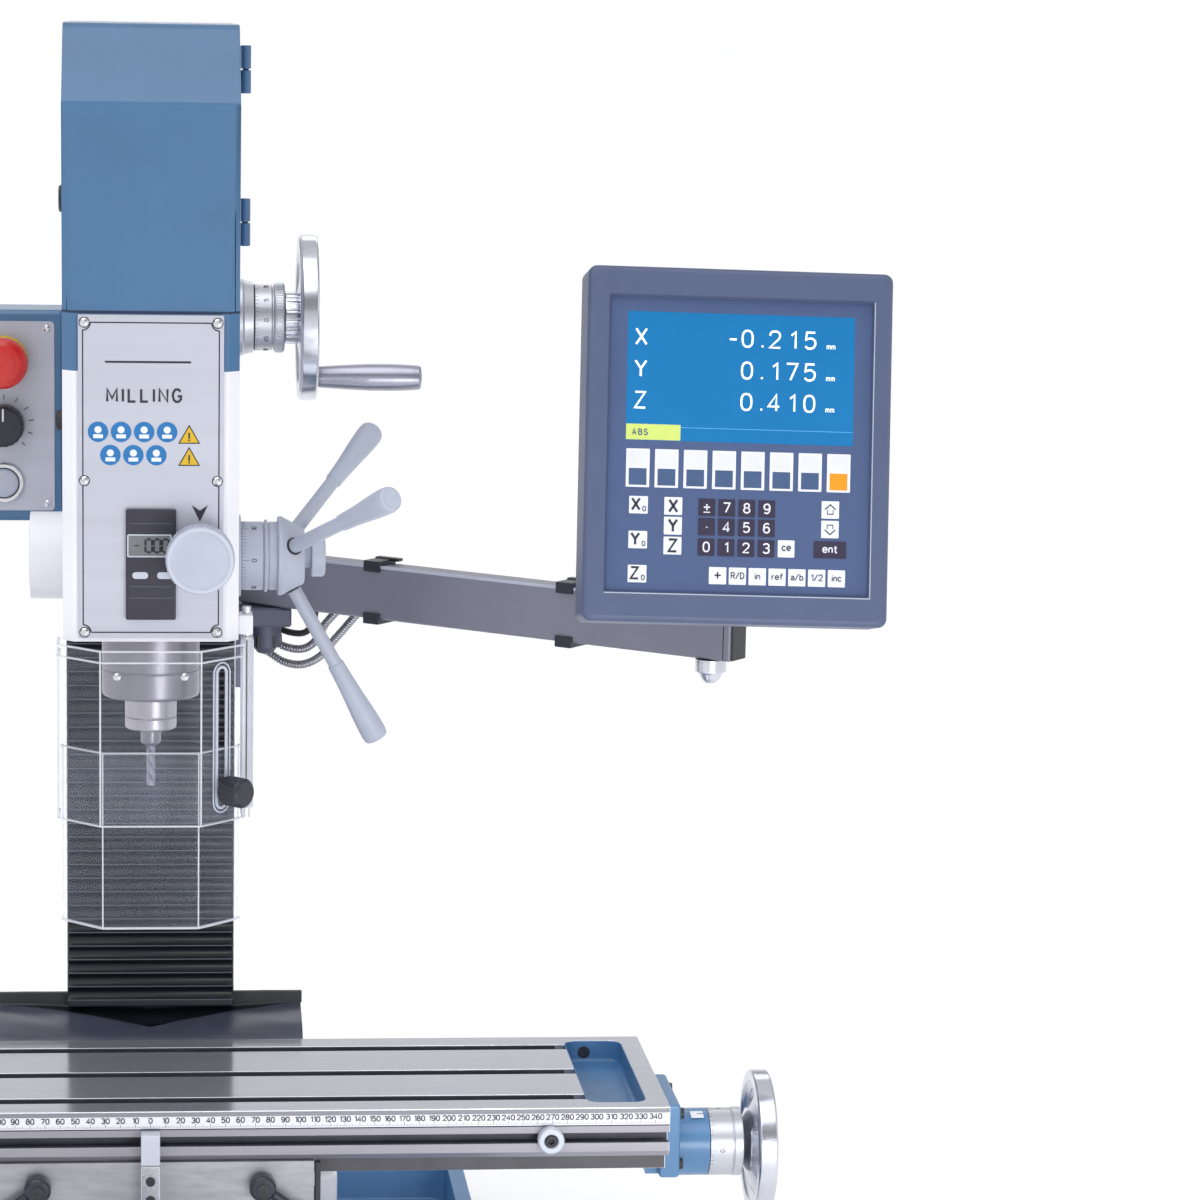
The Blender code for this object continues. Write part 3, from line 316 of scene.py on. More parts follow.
def bevelled(bm, width, segments=3, angle=30.0, keep=None):
    """Round every edge sharper than the angle, or those that keep() picks."""
    edges = [e for e in bm.edges if e.is_manifold and e.calc_face_angle() > math.radians(angle)]
    if keep:
        edges = [e for e in edges if keep(e)]
    bmesh.ops.bevel(
        bm, geom=edges, offset=width, segments=segments, profile=0.5, affect="EDGES", clamp_overlap=True
    )
    return bm


def soft_block(low, high, width, segments=3):
    return bevelled(block(low, high), width, segments)


def prism(outline, start, end, axis="Z"):
    """Extrude a 2D outline along an axis: (x, y) for Z, (y, z) for X, (x, z) for Y."""
    lift = {
        "X": lambda p, t: (t, p[0], p[1]),
        "Y": lambda p, t: (p[0], t, p[1]),
        "Z": lambda p, t: (p[0], p[1], t),
    }[axis]
    bm = bmesh.new()
    ends = [[bm.verts.new(lift(p, t)) for p in outline] for t in (start, end)]
    for ring in ends:
        bm.faces.new(ring)
    count = len(outline)
    for i in range(count):
        j = (i + 1) % count
        bm.faces.new((ends[0][i], ends[0][j], ends[1][j], ends[1][i]))
    bmesh.ops.recalc_face_normals(bm, faces=bm.faces)
    return bm


def softened(profile, size=0.4, steps=2):
    """Round the corners of a turned profile, apart from those on the axis."""
    points = []
    for index, point in enumerate(profile):
        spot = Vector(point)
        if index in (0, len(profile) - 1) or spot.y == 0:
            points.append(tuple(spot))
            continue
        before, after = Vector(profile[index - 1]) - spot, Vector(profile[index + 1]) - spot
        reach = min(size, before.length * 0.45, after.length * 0.45)
        start, end = spot + before.normalized() * reach, spot + after.normalized() * reach
        for step in range(steps + 1):
            t = step / steps
            points.append(tuple(start * (1 - t) ** 2 + spot * 2 * t * (1 - t) + end * t**2))
    return points


def turned(profile, axis, centre, steps=ROUND, soft=0.4):
    """Turn (along, radius) points about an axis. A profile that doesn't end on the axis at both ends is
    closed into a ring."""
    solid_ends = profile[0][1] == 0 and profile[-1][1] == 0
    if soft:
        profile = softened(profile, soft)
    bm = bmesh.new()
    rings = []
    for along, radius in profile:
        turns = 1 if radius == 0 else steps
        ring = []
        for i in range(turns):
            angle = math.tau * i / steps
            a, b = radius * math.cos(angle), radius * math.sin(angle)
            spot = {"X": (along, a, b), "Y": (b, along, a), "Z": (a, b, along)}[axis]
            ring.append(bm.verts.new([spot[k] + centre[k] for k in range(3)]))
        rings.append(ring)
    pairs = list(zip(rings, rings[1:]))
    if not solid_ends:
        pairs.append((rings[-1], rings[0]))
    for lower, upper in pairs:
        for i in range(steps):
            j = (i + 1) % steps
            corners = [lower[i % len(lower)], lower[j % len(lower)]]
            corners += [upper[j % len(upper)], upper[i % len(upper)]]
            corners = list(dict.fromkeys(corners))
            if len(corners) > 2:
                bm.faces.new(corners)
    bmesh.ops.recalc_face_normals(bm, faces=bm.faces)
    return bm


def rod(start, end, radius, axis, centre, steps=SMALL, soft=0.3):
    return turned([(start, 0), (start, radius), (end, radius), (end, 0)], axis, centre, steps, soft)


def rounded_rectangle(half_x, half_y, radius, centre=(0, 0), corner_steps=6):
    outline = []
    for quarter in range(4):
        sign_x = (1, -1, -1, 1)[quarter]
        sign_y = (1, 1, -1, -1)[quarter]
        for i in range(corner_steps + 1):
            angle = math.pi / 2 * (quarter + i / corner_steps)
            outline.append(
                (
                    centre[0] + sign_x * (half_x - radius) + radius * math.cos(angle),
                    centre[1] + sign_y * (half_y - radius) + radius * math.sin(angle),
                )
            )
    return outline


def stacked(rings, closed=False):
    """Join outlines of equal length, each a list of points, into one skin. An open stack gets end caps."""
    bm = bmesh.new()
    loops = [[bm.verts.new(point) for point in outline] for outline in rings]
    pairs = list(zip(loops, loops[1:]))
    if closed:
        pairs.append((loops[-1], loops[0]))
    else:
        bm.faces.new(loops[0])
        bm.faces.new(loops[-1])
    count = len(loops[0])
    for lower, upper in pairs:
        for i in range(count):
            j = (i + 1) % count
            bm.faces.new((lower[i], lower[j], upper[j], upper[i]))
    bmesh.ops.recalc_face_normals(bm, faces=bm.faces)
    return bm


def moved(bm, matrix):
    bmesh.ops.transform(bm, matrix=matrix, verts=bm.verts)
    return bm


def merged(*shapes):
    """Several separate closed shapes as one bmesh."""
    whole = shapes[0]
    for shape in shapes[1:]:
        mesh = bpy.data.meshes.new("part")
        shape.to_mesh(mesh)
        shape.free()
        whole.from_mesh(mesh)
        bpy.data.meshes.remove(mesh)
    return whole


def loose_object(bm):
    mesh = bpy.data.meshes.new("loose")
    bm.to_mesh(mesh)
    bm.free()
    obj = bpy.data.objects.new("loose", mesh)
    bpy.context.scene.collection.objects.link(obj)
    return obj


def combined(bm, operation, *others):
    """Exact Boolean of closed shapes."""
    base = loose_object(bm)
    helpers = [loose_object(other) for other in others]
    for helper in helpers:
        modifier = base.modifiers.new("Boolean", "BOOLEAN")
        modifier.operation = operation
        modifier.solver = "EXACT"
        modifier.object = helper
    graph = bpy.context.evaluated_depsgraph_get()
    result = bmesh.new()
    evaluated = base.evaluated_get(graph)
    result.from_mesh(evaluated.to_mesh())
    evaluated.to_mesh_clear()
    for obj in [base, *helpers]:
        mesh = obj.data
        bpy.data.objects.remove(obj, do_unlink=True)
        bpy.data.meshes.remove(mesh)
    bmesh.ops.remove_doubles(result, verts=result.verts, dist=0.001)
    return result


def carved(bm, *cutters):
    return combined(bm, "DIFFERENCE", *cutters)


def joined(bm, *others):
    return combined(bm, "UNION", *others)


def flat_faces(bm):
    """Dissolve the edges inside flat areas, so that only real edges are left to round."""
    bmesh.ops.dissolve_limit(bm, angle_limit=math.radians(0.6), verts=bm.verts, edges=bm.edges)
    return bm


def cad_shape(node):
    """A copy of a CAD node's mesh, in millimetres, with its flat faces whole."""
    bm = bmesh.new()
    bm.from_mesh(frame["nodes"][node].data)
    bmesh.ops.transform(bm, matrix=Matrix.Scale(1 / MM, 4), verts=bm.verts)
    bmesh.ops.remove_doubles(bm, verts=bm.verts, dist=0.004)
    return flat_faces(bm)


def tube(points, radius, sides=16, rings=None):
    """A closed tube along points. rings gives a radius for each point."""
    spots = [Vector(p) for p in points]
    across = None
    loops = []
    for index, spot in enumerate(spots):
        ahead = spots[min(index + 1, len(spots) - 1)] - spots[max(index - 1, 0)]
        ahead.normalize()
        if across is None:
            across = ahead.orthogonal().normalized()
        across = (across - ahead * across.dot(ahead)).normalized()
        other = ahead.cross(across)
        size = rings[index] if rings else radius
        loop = []
        for i in range(sides):
            angle = math.tau * i / sides
            loop.append(spot + (across * math.cos(angle) + other * math.sin(angle)) * size)
        loops.append(loop)
    return stacked(loops)


# Pieces.


def place(name, bm, look, body, replaces=(), smooth=35.0, blend=None):
    """Make the piece from a shape in millimetres and paint it; it rides a body, or stays fixed where it is
    when a blend is given.
    """
    slot, material = LOOKS[look]
    bmesh.ops.transform(bm, matrix=Matrix.Scale(MM, 4), verts=bm.verts)
    mesh = bpy.data.meshes.new(name)
    bm.to_mesh(mesh)
    bm.free()
    mesh.materials.append(material)
    mesh.shade_smooth()
    mesh.set_sharp_from_angle(angle=math.radians(smooth))
    obj = bpy.data.objects.new(name, mesh)
    bpy.context.scene.collection.objects.link(obj)
    if blend:
        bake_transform(obj)
    else:
        weighted = obj.modifiers.new("Normals", "WEIGHTED_NORMAL")
        weighted.keep_sharp = True
        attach(obj, body)
    if replaces:
        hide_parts(*replaces)
    return obj


def refine(node, look, body, width=0.6, segments=3, angle=30.0):
    """Stand for a CAD node with the same shape, its edges rounded."""
    return place(f"{node}_finish", bevelled(cad_shape(node), width, segments, angle), look, body, (node,))


STROKES = {
    # Each character: lines of points on a grid 6 high.
    "1": [[(0.6, 4.7), (2.2, 6), (2.2, 0)]],
    "2": [[(0.1, 4.4), (0.4, 5.4), (1.2, 6), (2.8, 6), (3.7, 5.3), (3.9, 4.3), (3.5, 3.3), (0.1, 0), (4, 0)]],
    "3": [
        [(0.2, 5.2), (1.0, 5.9), (2.8, 6), (3.7, 5.2), (3.7, 4.0), (2.8, 3.2), (1.6, 3.2)],
        [(2.8, 3.2), (3.8, 2.4), (3.9, 1.2), (3.0, 0.1), (1.2, 0), (0.1, 0.9)],
    ],
    "4": [[(3.0, 0), (3.0, 6), (0, 1.6), (4.1, 1.6)]],
    "5": [
        [(3.7, 6), (0.6, 6), (0.3, 3.3), (1.4, 3.8), (2.6, 3.8), (3.7, 3.0), (3.9, 1.8), (3.3, 0.5), (2.2, 0)]
        + [(1.0, 0.1), (0.1, 0.9)]
    ],
    "6": [
        [
            (3.6, 5.4), (2.6, 6), (1.4, 5.9), (0.4, 4.8), (0.1, 2.8), (0.2, 1.4), (1.0, 0.2), (2.2, 0),
            (3.4, 0.5)
        ]
        + [(3.9, 1.8), (3.4, 3.2), (2.2, 3.7), (0.9, 3.3), (0.2, 2.2)]
    ],
    "7": [[(0, 6), (4, 6), (1.4, 0)]],
    "-": [[(0.6, 2.6), (3.2, 2.6)]],
    ".": [[(0.3, 0), (0.3, 0.7)]],
    "+": [[(0, 3), (4, 3)], [(2, 1), (2, 5)]],
    "/": [[(0, -0.3), (3.2, 6.3)]],
    "X": [[(0, 0), (4, 6)], [(0, 6), (4, 0)]],
    "Y": [[(0, 6), (2.1, 3), (2.1, 0)], [(4.2, 6), (2.1, 3)]],
    "Z": [[(0.1, 6), (3.9, 6), (0, 0), (4, 0)]],
    "A": [[(0, 0), (2, 6), (4, 0)], [(0.7, 2), (3.3, 2)]],
    "B": [
        [(0.3, 0), (0.3, 6), (2.4, 6), (3.4, 5.3), (3.4, 4), (2.4, 3.2), (0.3, 3.2)],
        [(2.4, 3.2), (3.8, 2.3), (3.8, 0.9), (2.6, 0), (0.3, 0)],
    ],
    "D": [[(0.3, 0), (0.3, 6), (2.0, 6), (3.4, 5), (3.9, 3), (3.4, 1), (2.0, 0), (0.3, 0)]],
    "R": [[(0.3, 0), (0.3, 6), (2.6, 6), (3.6, 5.2), (3.6, 3.8), (2.6, 3), (0.3, 3)], [(2.2, 3), (3.8, 0)]],
    "S": [
        [(3.6, 5), (2.8, 5.9), (1.2, 6), (0.3, 5), (0.6, 3.7), (3.3, 2.5), (3.8, 1.2), (2.9, 0.1), (1.1, 0)]
        + [(0.1, 1)]
    ],
    "M": [[(0, 0), (0, 6), (2.3, 1.5), (4.6, 6), (4.6, 0)]],
    "I": [[(0.3, 0), (0.3, 6)]],
    "L": [[(0.2, 6), (0.2, 0), (3.4, 0)]],
    "N": [[(0.1, 0), (0.1, 6), (3.9, 0), (3.9, 6)]],
    "G": [
        [(3.7, 4.9), (2.6, 6), (1.2, 5.9), (0.2, 4.4), (0, 2.8), (0.5, 0.9), (1.6, 0), (2.9, 0.1), (3.9, 1.3)]
        + [(3.9, 2.7), (2.3, 2.7)]
    ],
    "a": [
        [(0.4, 3.3), (1.3, 4), (2.5, 4), (3.2, 3.3), (3.2, 0)],
        [(3.2, 2.3), (1.3, 2.2), (0.3, 1.5), (0.4, 0.5), (1.2, 0), (2.4, 0.2), (3.2, 1.2)],
    ],
    "b": [
        [(0.3, 6), (0.3, 0)],
        [(0.3, 3), (1.2, 3.9), (2.4, 4), (3.4, 3), (3.5, 1.4), (2.6, 0.1), (1.2, 0), (0.3, 0.9)]
    ],
    "c": [[(3.3, 3.3), (2.4, 4.05), (1.2, 4), (0.3, 3), (0.2, 1.3), (1.1, 0.1), (2.3, 0), (3.3, 0.8)]],
    "e": [
        [
            (0.3, 2.1), (3.6, 2.1), (3.4, 3.3), (2.4, 4.1), (1.2, 4.0), (0.3, 3.0), (0.2, 1.4), (1.0, 0.3),
            (2.2, 0), (3.4, 0.6)
        ]
    ],
    "f": [[(1.2, 0), (1.2, 5), (1.8, 6), (2.7, 5.9)], [(0.2, 4), (2.6, 4)]],
    "i": [[(0.5, 0), (0.5, 4)], [(0.5, 5.1), (0.5, 5.8)]],
    "m": [
        [(0.3, 0), (0.3, 4)], [(0.3, 3), (1, 3.9), (1.8, 3.7), (2.1, 3), (2.1, 0)],
        [(2.1, 3), (2.9, 3.9), (3.7, 3.7), (4, 3), (4, 0)]
    ],
    "n": [[(0.3, 0), (0.3, 4)], [(0.3, 2.8), (1.2, 3.9), (2.4, 4), (3.2, 3.2), (3.2, 0)]],
    "r": [[(0.3, 0), (0.3, 4)], [(0.3, 2.6), (1.1, 3.8), (2.2, 4)]],
    "t": [[(1.4, 5.4), (1.4, 0.8), (2.0, 0), (2.8, 0.1)], [(0.2, 4), (2.7, 4)]],
}


def oval(x, z, half_x, half_z, squareness=0.8):
    spots = []
    for i in range(17):
        turn = math.tau * i / 16
        c, w = math.cos(turn), math.sin(turn)
        spots.append(
            (
                x + half_x * math.copysign(abs(c) ** squareness, c),
                z + half_z * math.copysign(abs(w) ** squareness, w),
            )
        )
    return spots


STROKES["0"] = [oval(2, 3, 1.9, 3)]
STROKES["8"] = [oval(2, 4.6, 1.6, 1.4, 1), oval(2, 1.6, 1.95, 1.6, 1)]
STROKES["9"] = [[(4 - x, 6 - z) for x, z in line] for line in STROKES["6"]]


def stroke(line, width, depth):
    """Flat line of even width along points (x, z), with mitred bends."""
    points = [Vector(point) for point in line]
    looped = (points[0] - points[-1]).length < 1e-6
    if looped:
        points.pop()
    count = len(points)
    rings = []
    for i, point in enumerate(points):
        before = points[i - 1] if looped or i else point * 2 - points[1]
        after = points[(i + 1) % count] if looped or i < count - 1 else point * 2 - points[-2]
        first, second = (point - before).normalized(), (after - point).normalized()
        across = (Vector((-first.y, first.x)) + Vector((-second.y, second.x))).normalized()
        reach = width / 2 / max(0.62, across.dot(Vector((-first.y, first.x))))
        left, right = point + across * reach, point - across * reach
        rings.append([(p.x, y, p.y) for p, y in ((left, 0), (right, 0), (right, -depth), (left, -depth))])
    return stacked(rings, closed=looped)


def lettering(text, size, matrix, weight=0.15, depth=0.15, gap=1.3):
    """Raised lettering in the plane X Z, facing -Y, centred. The weight is a share of its height."""
    scale, shapes, start = 0.7 * size / 6, [], 0.0
    for character in text:
        lines = STROKES[character]
        for line in lines:
            shapes.append(stroke([(start + x, z - 3) for x, z in line], 6 * weight, depth / scale))
        start += max(x for line in lines for x, _ in line) + gap
    whole = Matrix.Diagonal((scale, scale, scale, 1)) @ Matrix.Translation(((gap - start) / 2, 0, 0))
    return moved(merged(*shapes), matrix @ whole)


def wrapped(bm, axis_centre, radius):
    """Bend a flat marking in the plane X Z round an X axis: its height becomes an angle."""
    _, cy, cz = axis_centre
    for vert in bm.verts:
        angle = vert.co.z / radius
        reach = radius - vert.co.y
        vert.co = (vert.co.x, cy - reach * math.cos(angle), cz + reach * math.sin(angle))
    return bm


def socket_screw(x, y, z, radius, axis="Y", side=-1, head=3.0):
    """Cap screw with a hexagon socket, its head standing proud towards side."""
    start, end = sorted((0.0, side * head))
    bm = rod(start, end, radius, axis, (x, y, z), SMALL, 0.4)
    depth = sorted((side * head * 0.4, side * (head + 1)))
    hole = turned([(depth[0], 0), (depth[0], radius * 0.55), (depth[1], radius * 0.55), (depth[1], 0)],
                  axis, (x, y, z), 6, 0)
    return carved(bm, hole)


def dome_screw(x, y, z, radius, side=-1):
    """Cross-recessed dome screw facing along Y."""
    profile = [
        (0, 0), (0, radius), (side * radius * 0.25, radius * 0.96), (side * radius * 0.45, radius * 0.7)
    ]
    profile += [(side * radius * 0.55, radius * 0.35), (side * radius * 0.56, 0)]
    bm = turned(profile, "Y", (x, y, z), SMALL, 0)
    cuts = []
    for size in ((radius * 0.6, radius * 0.11), (radius * 0.11, radius * 0.6)):
        far = y + side * radius
        near = y + side * radius * 0.3
        cuts.append(
            block((x - size[0], min(far, near), z - size[1]), (x + size[0], max(far, near), z + size[1]))
        )
    return carved(bm, *cuts)

# Cables of the three scales. The route repeats the CAD model's.

CABLES = ("x_scale_cable", "y_scale_cable", "z_scale_cable")
CABLE_RADII = (3.2, 3.2, 2.5)
ARM_START = Vector(ARM_PIVOT)
ARM_ALONG = (Vector(ARM_END) - ARM_START).normalized()
ARM_ACROSS = Vector((-ARM_ALONG.y, ARM_ALONG.x))


def along_arm(distance, offset, height):
    """A point beside the readout's arm: so far from the pivot, so far behind the centre line."""
    spot = ARM_START + ARM_ALONG * distance + ARM_ACROSS * offset
    return (spot.x, spot.y, height)


def cable_route(index):
    """Points from the clamp behind the column to the console, and the index where the stretch along the arm
    ends.
    """
    column_x, lift, back = 56 - 11 * index, 12 * index, 6 * index
    level = 495.0 + 10 * index
    offset = 10.5 + CABLE_RADII[index]
    leave, console_x = 330 - 20 * index, 356.0 - 13 * index
    points = [(column_x, 306, 338.4), (column_x, 308, 370), (column_x + 1, 309, 405)]
    points += [(column_x + 6, 309, 436 + lift), (74, 309, 450 + lift), (88, 305, 445 + lift)]
    points += [(101, 299, 438 + lift), (115, 289, 438 + lift)]
    points += [(128 - back / 2, 276 + back / 2, 447 + lift), (139 - back, 264 + back, 463 + lift)]
    points += [along_arm(t, offset, level) for t in (90 - back, 120, 150, 200, 250, leave - 30, leave)]
    leaves = len(points) - 1
    x, y, z = along_arm(leave + 14, offset, 536)
    points += [(x, y, z), (console_x, y - 22, 566), (console_x, 36, 594)]
    return points + [(console_x, 6, 607), (console_x, -22.4, 609)], leaves


def smooth_route(points, steps):
    """Catmull-Rom curve through the route's points."""
    spots = [Vector(p) for p in points]
    spots = [spots[0] * 2 - spots[1]] + spots + [spots[-1] * 2 - spots[-2]]
    route = []
    for a, b, c, d in zip(spots, spots[1:], spots[2:], spots[3:]):
        for i in range(steps):
            t = i / steps
            square, cube = 2 * a - 5 * b + 4 * c - d, 3 * b - a - 3 * c + d
            route.append(0.5 * (2 * b + (c - a) * t + square * t**2 + cube * t**3))
    return route + [spots[-2]]


def resampled(route, pitch):
    """The same line with points a pitch apart."""
    total = sum((b - a).length for a, b in zip(route, route[1:]))
    count = max(2, round(total / pitch))
    spots, walked, index = [], 0.0, 0
    for i in range(count + 1):
        goal = total * i / count
        while index < len(route) - 2 and walked + (route[index + 1] - route[index]).length < goal:
            walked += (route[index + 1] - route[index]).length
            index += 1
        step = (route[index + 1] - route[index]).length
        spots.append(route[index].lerp(route[index + 1], min(1.0, (goal - walked) / step)))
    return spots


def cable_piece(name, route, index, body, blend, replaces=()):
    """One stretch of a cable. The armour is a row of rounded rings, and the third cable is plain."""
    radius = CABLE_RADII[index]
    armoured = index < 2
    if armoured:
        spots = resampled(route, 0.8)
        rings = [radius * (1.0, 1.0, 0.62)[i % 3] for i in range(len(spots))]
        shape = tube(spots, radius, 14, rings)
    else:
        spots = resampled(route, 3.0)
        shape = tube(spots, radius, 14)
    look = "armour" if armoured else "cord_black"
    obj = place(name, shape, look, body, replaces, 60.0, blend)
    return obj


def cables():
    for index, name in enumerate(CABLES):
        points, leaves = cable_route(index)
        steps = 8
        route = smooth_route(points, steps)
        arm_end, turn_end = leaves * steps, (leaves + 3) * steps
        loop, rise, tail = route[: arm_end + 1], route[arm_end : turn_end + 1], route[turn_end:]
        bend = ("machine_base", "arm", route[4 * steps], route[10 * steps])
        cable_piece(name + "_loop", loop, index, None, bend, (name,))
        bend = ("arm", "yoke", rise[0], rise[-1])
        cable_piece(name + "_rise", rise, index, None, bend)
        bend = ("yoke", "console", tail[0], tail[-1])
        cable_piece(name + "_tail", tail, index, None, bend)
        x, y, z = route[0]
        points = [(z - 6, 0), (z - 6, 6), (z + 2, 6), (z + 8, 4.4), (z + 14, 3.4), (z + 14, 0)]
        place(name + "_gland", turned(points, "Z", (x, y, 0), SMALL), "black", "machine_base")
        plug = turned(
            [(-9, 0), (-9, 3.4), (-2, 5.2), (0, 7), (9, 7), (10, 6), (10, 0)], "Y", (0, 0, 0), SMALL
        )
        ahead = (tail[-1] - tail[-2]).normalized()
        turn = Vector((0, 1, 0)).rotation_difference(ahead).to_matrix().to_4x4()
        matrix = Matrix.Translation(tail[-1] - ahead * 6) @ turn
        place(name + "_plug", moved(plug, matrix), "black", "console")


# Base, column and saddle.


def foot_bolts():
    shapes = []
    for x in (-120, 120):
        for y in (165, 235, 305):
            shapes.append(socket_screw(x, y, 84.0, 7.0, "Z", 1, 7.0))
    place("column_foot_bolts", merged(*shapes), "black_steel", "machine_base")


def base():
    # The tray's lighter blue is painted light.
    refine("chip_tray", "lit_blue", "machine_base", 1.1, 3)
    refine("base_casting", "white", "machine_base", 1.6, 3)
    refine("column", "white", "machine_base", 1.2, 3)
    foot_bolts()
    cover = soft_block((-56, 300.1, 110), (56, 302.6, 790), 1.0)
    place("column_back_cover", carved(cover, block((20, 299, 300), (60, 304, 350))), "blue", "machine_base")
    screws = [dome_screw(x, 302.4, z, 4.0, 1) for x in (-48, 48) for z in (130, 430, 770)]
    place("column_back_screws", merged(*screws), "screw", "machine_base")
    refine("y_screw_bracket", "blue", "machine_base", 1.2, 3)
    refine("y_scale", "black_steel", "machine_base", 0.6, 2)
    bolts = [socket_screw(x, -222, z, 4.5, "Y", -1, 4.0) for x in (-34, 34) for z in (58, 88)]
    place("y_bracket_bolts", merged(*bolts), "black_steel", "machine_base")


FOLD = (0.0, 0.7, 0.95, 1.0, 0.9, 0.55)


def bellows():
    """Folded cover of the column's ways, from the foot of the column to the carriage."""
    low, high, pitch, depth = 218.0, 559.6, 10.0, 4.0
    folds = round((high - low) / pitch)
    front, back, half = 131.0, 150.6, 59.7
    steps = 6
    rings = []
    for i in range(steps * folds + 1):
        inset = depth * FOLD[i % steps]
        z = low + (high - low) * i / (steps * folds)
        side, face, corner = half, front + inset, 1.5
        ring = [(-side, back, z), (side, back, z), (side, face + corner, z)]
        ring += [(side - corner * 0.3, face + corner * 0.3, z), (side - corner, face, z)]
        ring += [
            (corner - side, face, z), (corner * 0.3 - side, face + corner * 0.3, z), (-side, face + corner, z)
        ]
        rings.append(ring)
    blend = ("machine_base", "carriage", (0, 140, low), (0, 140, high))
    place("bellows", stacked(rings), "rubber", None, ("column_bellows",), 50.0, blend)
    # Lighter strips along each fold's crest: painted highlights on the black rubber.
    highlight_strips = []
    for i in range(folds):
        z = low + (high - low) * i / folds
        highlight_strips.append(
            soft_block((-half - 0.1, front - 0.45, z + 0.2), (half + 0.1, front + 0.5, z + 0.95), 0.2, 1)
        )
    place("bellows_crest_highlights", merged(*highlight_strips), "lip", None, (), 50.0, blend)
    frame_low = soft_block((-59.7, 136, 212), (59.7, 150.6, 217.8), 1.2)
    place("bellows_foot", frame_low, "black", "machine_base")


def way_sheet():
    """Rubber sheet from the foot of the column to the back of the saddle, with a fold in its middle. A
    lighter skin of the same rubber over its hanging part is painted light.
    """
    line = [(150.0, 219.5, 0), (149.0, 218.5, 0), (148.4, 215, 0.3), (148.0, 211.5, 0.8), (146.0, 208.6, 1)]
    line += [(140.0, 207.2, 1), (128.0, 205.8, 1), (114.0, 203.4, 0.8), (104, 200.6, 0.3), (98.6, 198.4, 0)]
    line += [(96.4, 195.0, 0), (96.2, 184.0, 0), (96.2, 170.0, 0), (96.2, 160.0, 0)]
    spots = smooth_route([(0, y, z) for y, z, _ in line], 4)
    tilts = smooth_route([(0, y, tilt) for y, _, tilt in line], 4)
    thick = 1.1
    rings = []
    columns = 24
    for spot, tilt, after in zip(spots, tilts, spots[1:] + [spots[-1] * 2 - spots[-2]]):
        ahead = (after - spot).normalized()
        out = Vector((0, -ahead.z, ahead.y)) * thick
        ring = []
        for side, sign in ((1, 1), (-1, -1)):
            for i in range(columns + 1):
                x = side * (-109 + 218 * i / columns)
                lift = 0.3 * math.sin(x * 0.11 + spot.y * 0.2) + tilt.z * 4.2 * (abs(x) / 109 - 0.45)
                ring.append(spot + out * sign + Vector((x, 0, lift)))
        rings.append(ring)
    blend = ("machine_base", "saddle", (0, 148, 215), (0, 97, 198))
    place("way_sheet", stacked(rings), "sheet", None, ("rear_way_sheet",), 50.0, blend)
    # The lighter skin over the sheet's hanging part: painted light.
    first = next(i for i, spot in enumerate(spots) if spot.y < 146.5)
    last = next(i for i, spot in enumerate(spots) if spot.y < 97.5)
    face = []
    for row in range(25):
        outer, inner = [], []
        for i in range(columns + 1):
            start = first + 0.55 * (last - first) * (1 - abs(2 * i / columns - 1))
            at = min(start + (last + 6 - start) * row / 24, len(rings) - 2)
            whole, part = int(at), at - int(at)
            spot = rings[whole][columns + 1 + i].lerp(rings[whole + 1][columns + 1 + i], part)
            ahead = (spots[whole + 1] - spots[whole]).normalized()
            above = Vector((0, ahead.z, -ahead.y))
            outer.append(spot + above * 0.4)
            inner.append(spot - above * 0.3)
        face.append(outer + inner[::-1])
    place("way_sheet_lit_face", stacked(face), "sheet_lit", None, (), 50.0, blend)
    clamp = soft_block((-110, 146.5, 211.5), (110, 150.7, 220.4), 0.6)
    place("way_sheet_clamp", clamp, "black_steel", "machine_base")


def saddle():
    refine("saddle", "iron", "saddle", 0.8, 3)
    shapes = []
    for x in (-96, -60, 60, 96):
        shapes.append(socket_screw(x, -90, 112, 3.4, "Y", -1, 3.0))
    place("saddle_gib_screws", merged(*shapes), "black_steel", "saddle")
    points = [(-90, 0), (-90, 4), (-92, 4), (-93, 2.4), (-93, 0)]
    nipples = [turned(points, "Y", (x, 0, 126), SMALL) for x in (-40, 40)]
    place("saddle_oil_cups", merged(*nipples), "screw", "saddle")
    block_low = soft_block((-6.4, -102, 135), (6.4, -90.6, 165.5), 0.6)
    holes = [rod(-103, -100, 3.4, "Y", (0, 0, z), SMALL, 0) for z in (142, 155)]
    place("stop_block", carved(block_low, *holes), "steel", "saddle", ("table_stop_block",))
    place("stop_block_head", soft_block((-6.4, -102, 165.7), (6.4, -90.6, 187), 0.9), "ring", "saddle")
    wiper = soft_block((110.1, -91, 104), (114.0, -84, 163.6), 0.8)
    place("saddle_wiper", wiper, "black", "saddle")
    screws = [socket_screw(0, -100.2, z, 3.1, "Y", -1, 1.6) for z in (142, 155)]
    place("stop_block_screws", merged(*screws), "black_steel", "saddle")


def lock_levers():
    for word, side in (("right", 1), ("left", -1)):
        x, z = side * 75.0, 149.0
        hub = turned(
            [(-90.3, 0), (-90.3, 7.5), (-92.5, 9), (-102, 9), (-104, 7.2), (-104, 0)], "Y", (x, 0, z), 48, 0.8
        )
        handle = [(3, 0), (3, 3.6), (20, 3.4), (40, 4.0), (52, 6.0), (60, 6.3), (64, 4.2), (65, 0)]
        angle = 35.0 if side > 0 else 145.0
        turn = Matrix.Translation((x, -98.5, z)) @ spun(angle, "Y")
        arm = moved(turned(handle, "X", (0, 0, 0), SMALL, 1.5), turn)
        place(f"lock_lever_{word}", joined(hub, arm), "black", f"x_lock_{word}", (f"x_lock_lever_{word}",))
        cap = socket_screw(x, -104, z, 4.0, "Y", -1, 1.0)
        place(f"lock_lever_cap_{word}", cap, "black_steel", f"x_lock_{word}")


# Table.

RULER_Z = (188.4, 196.2)


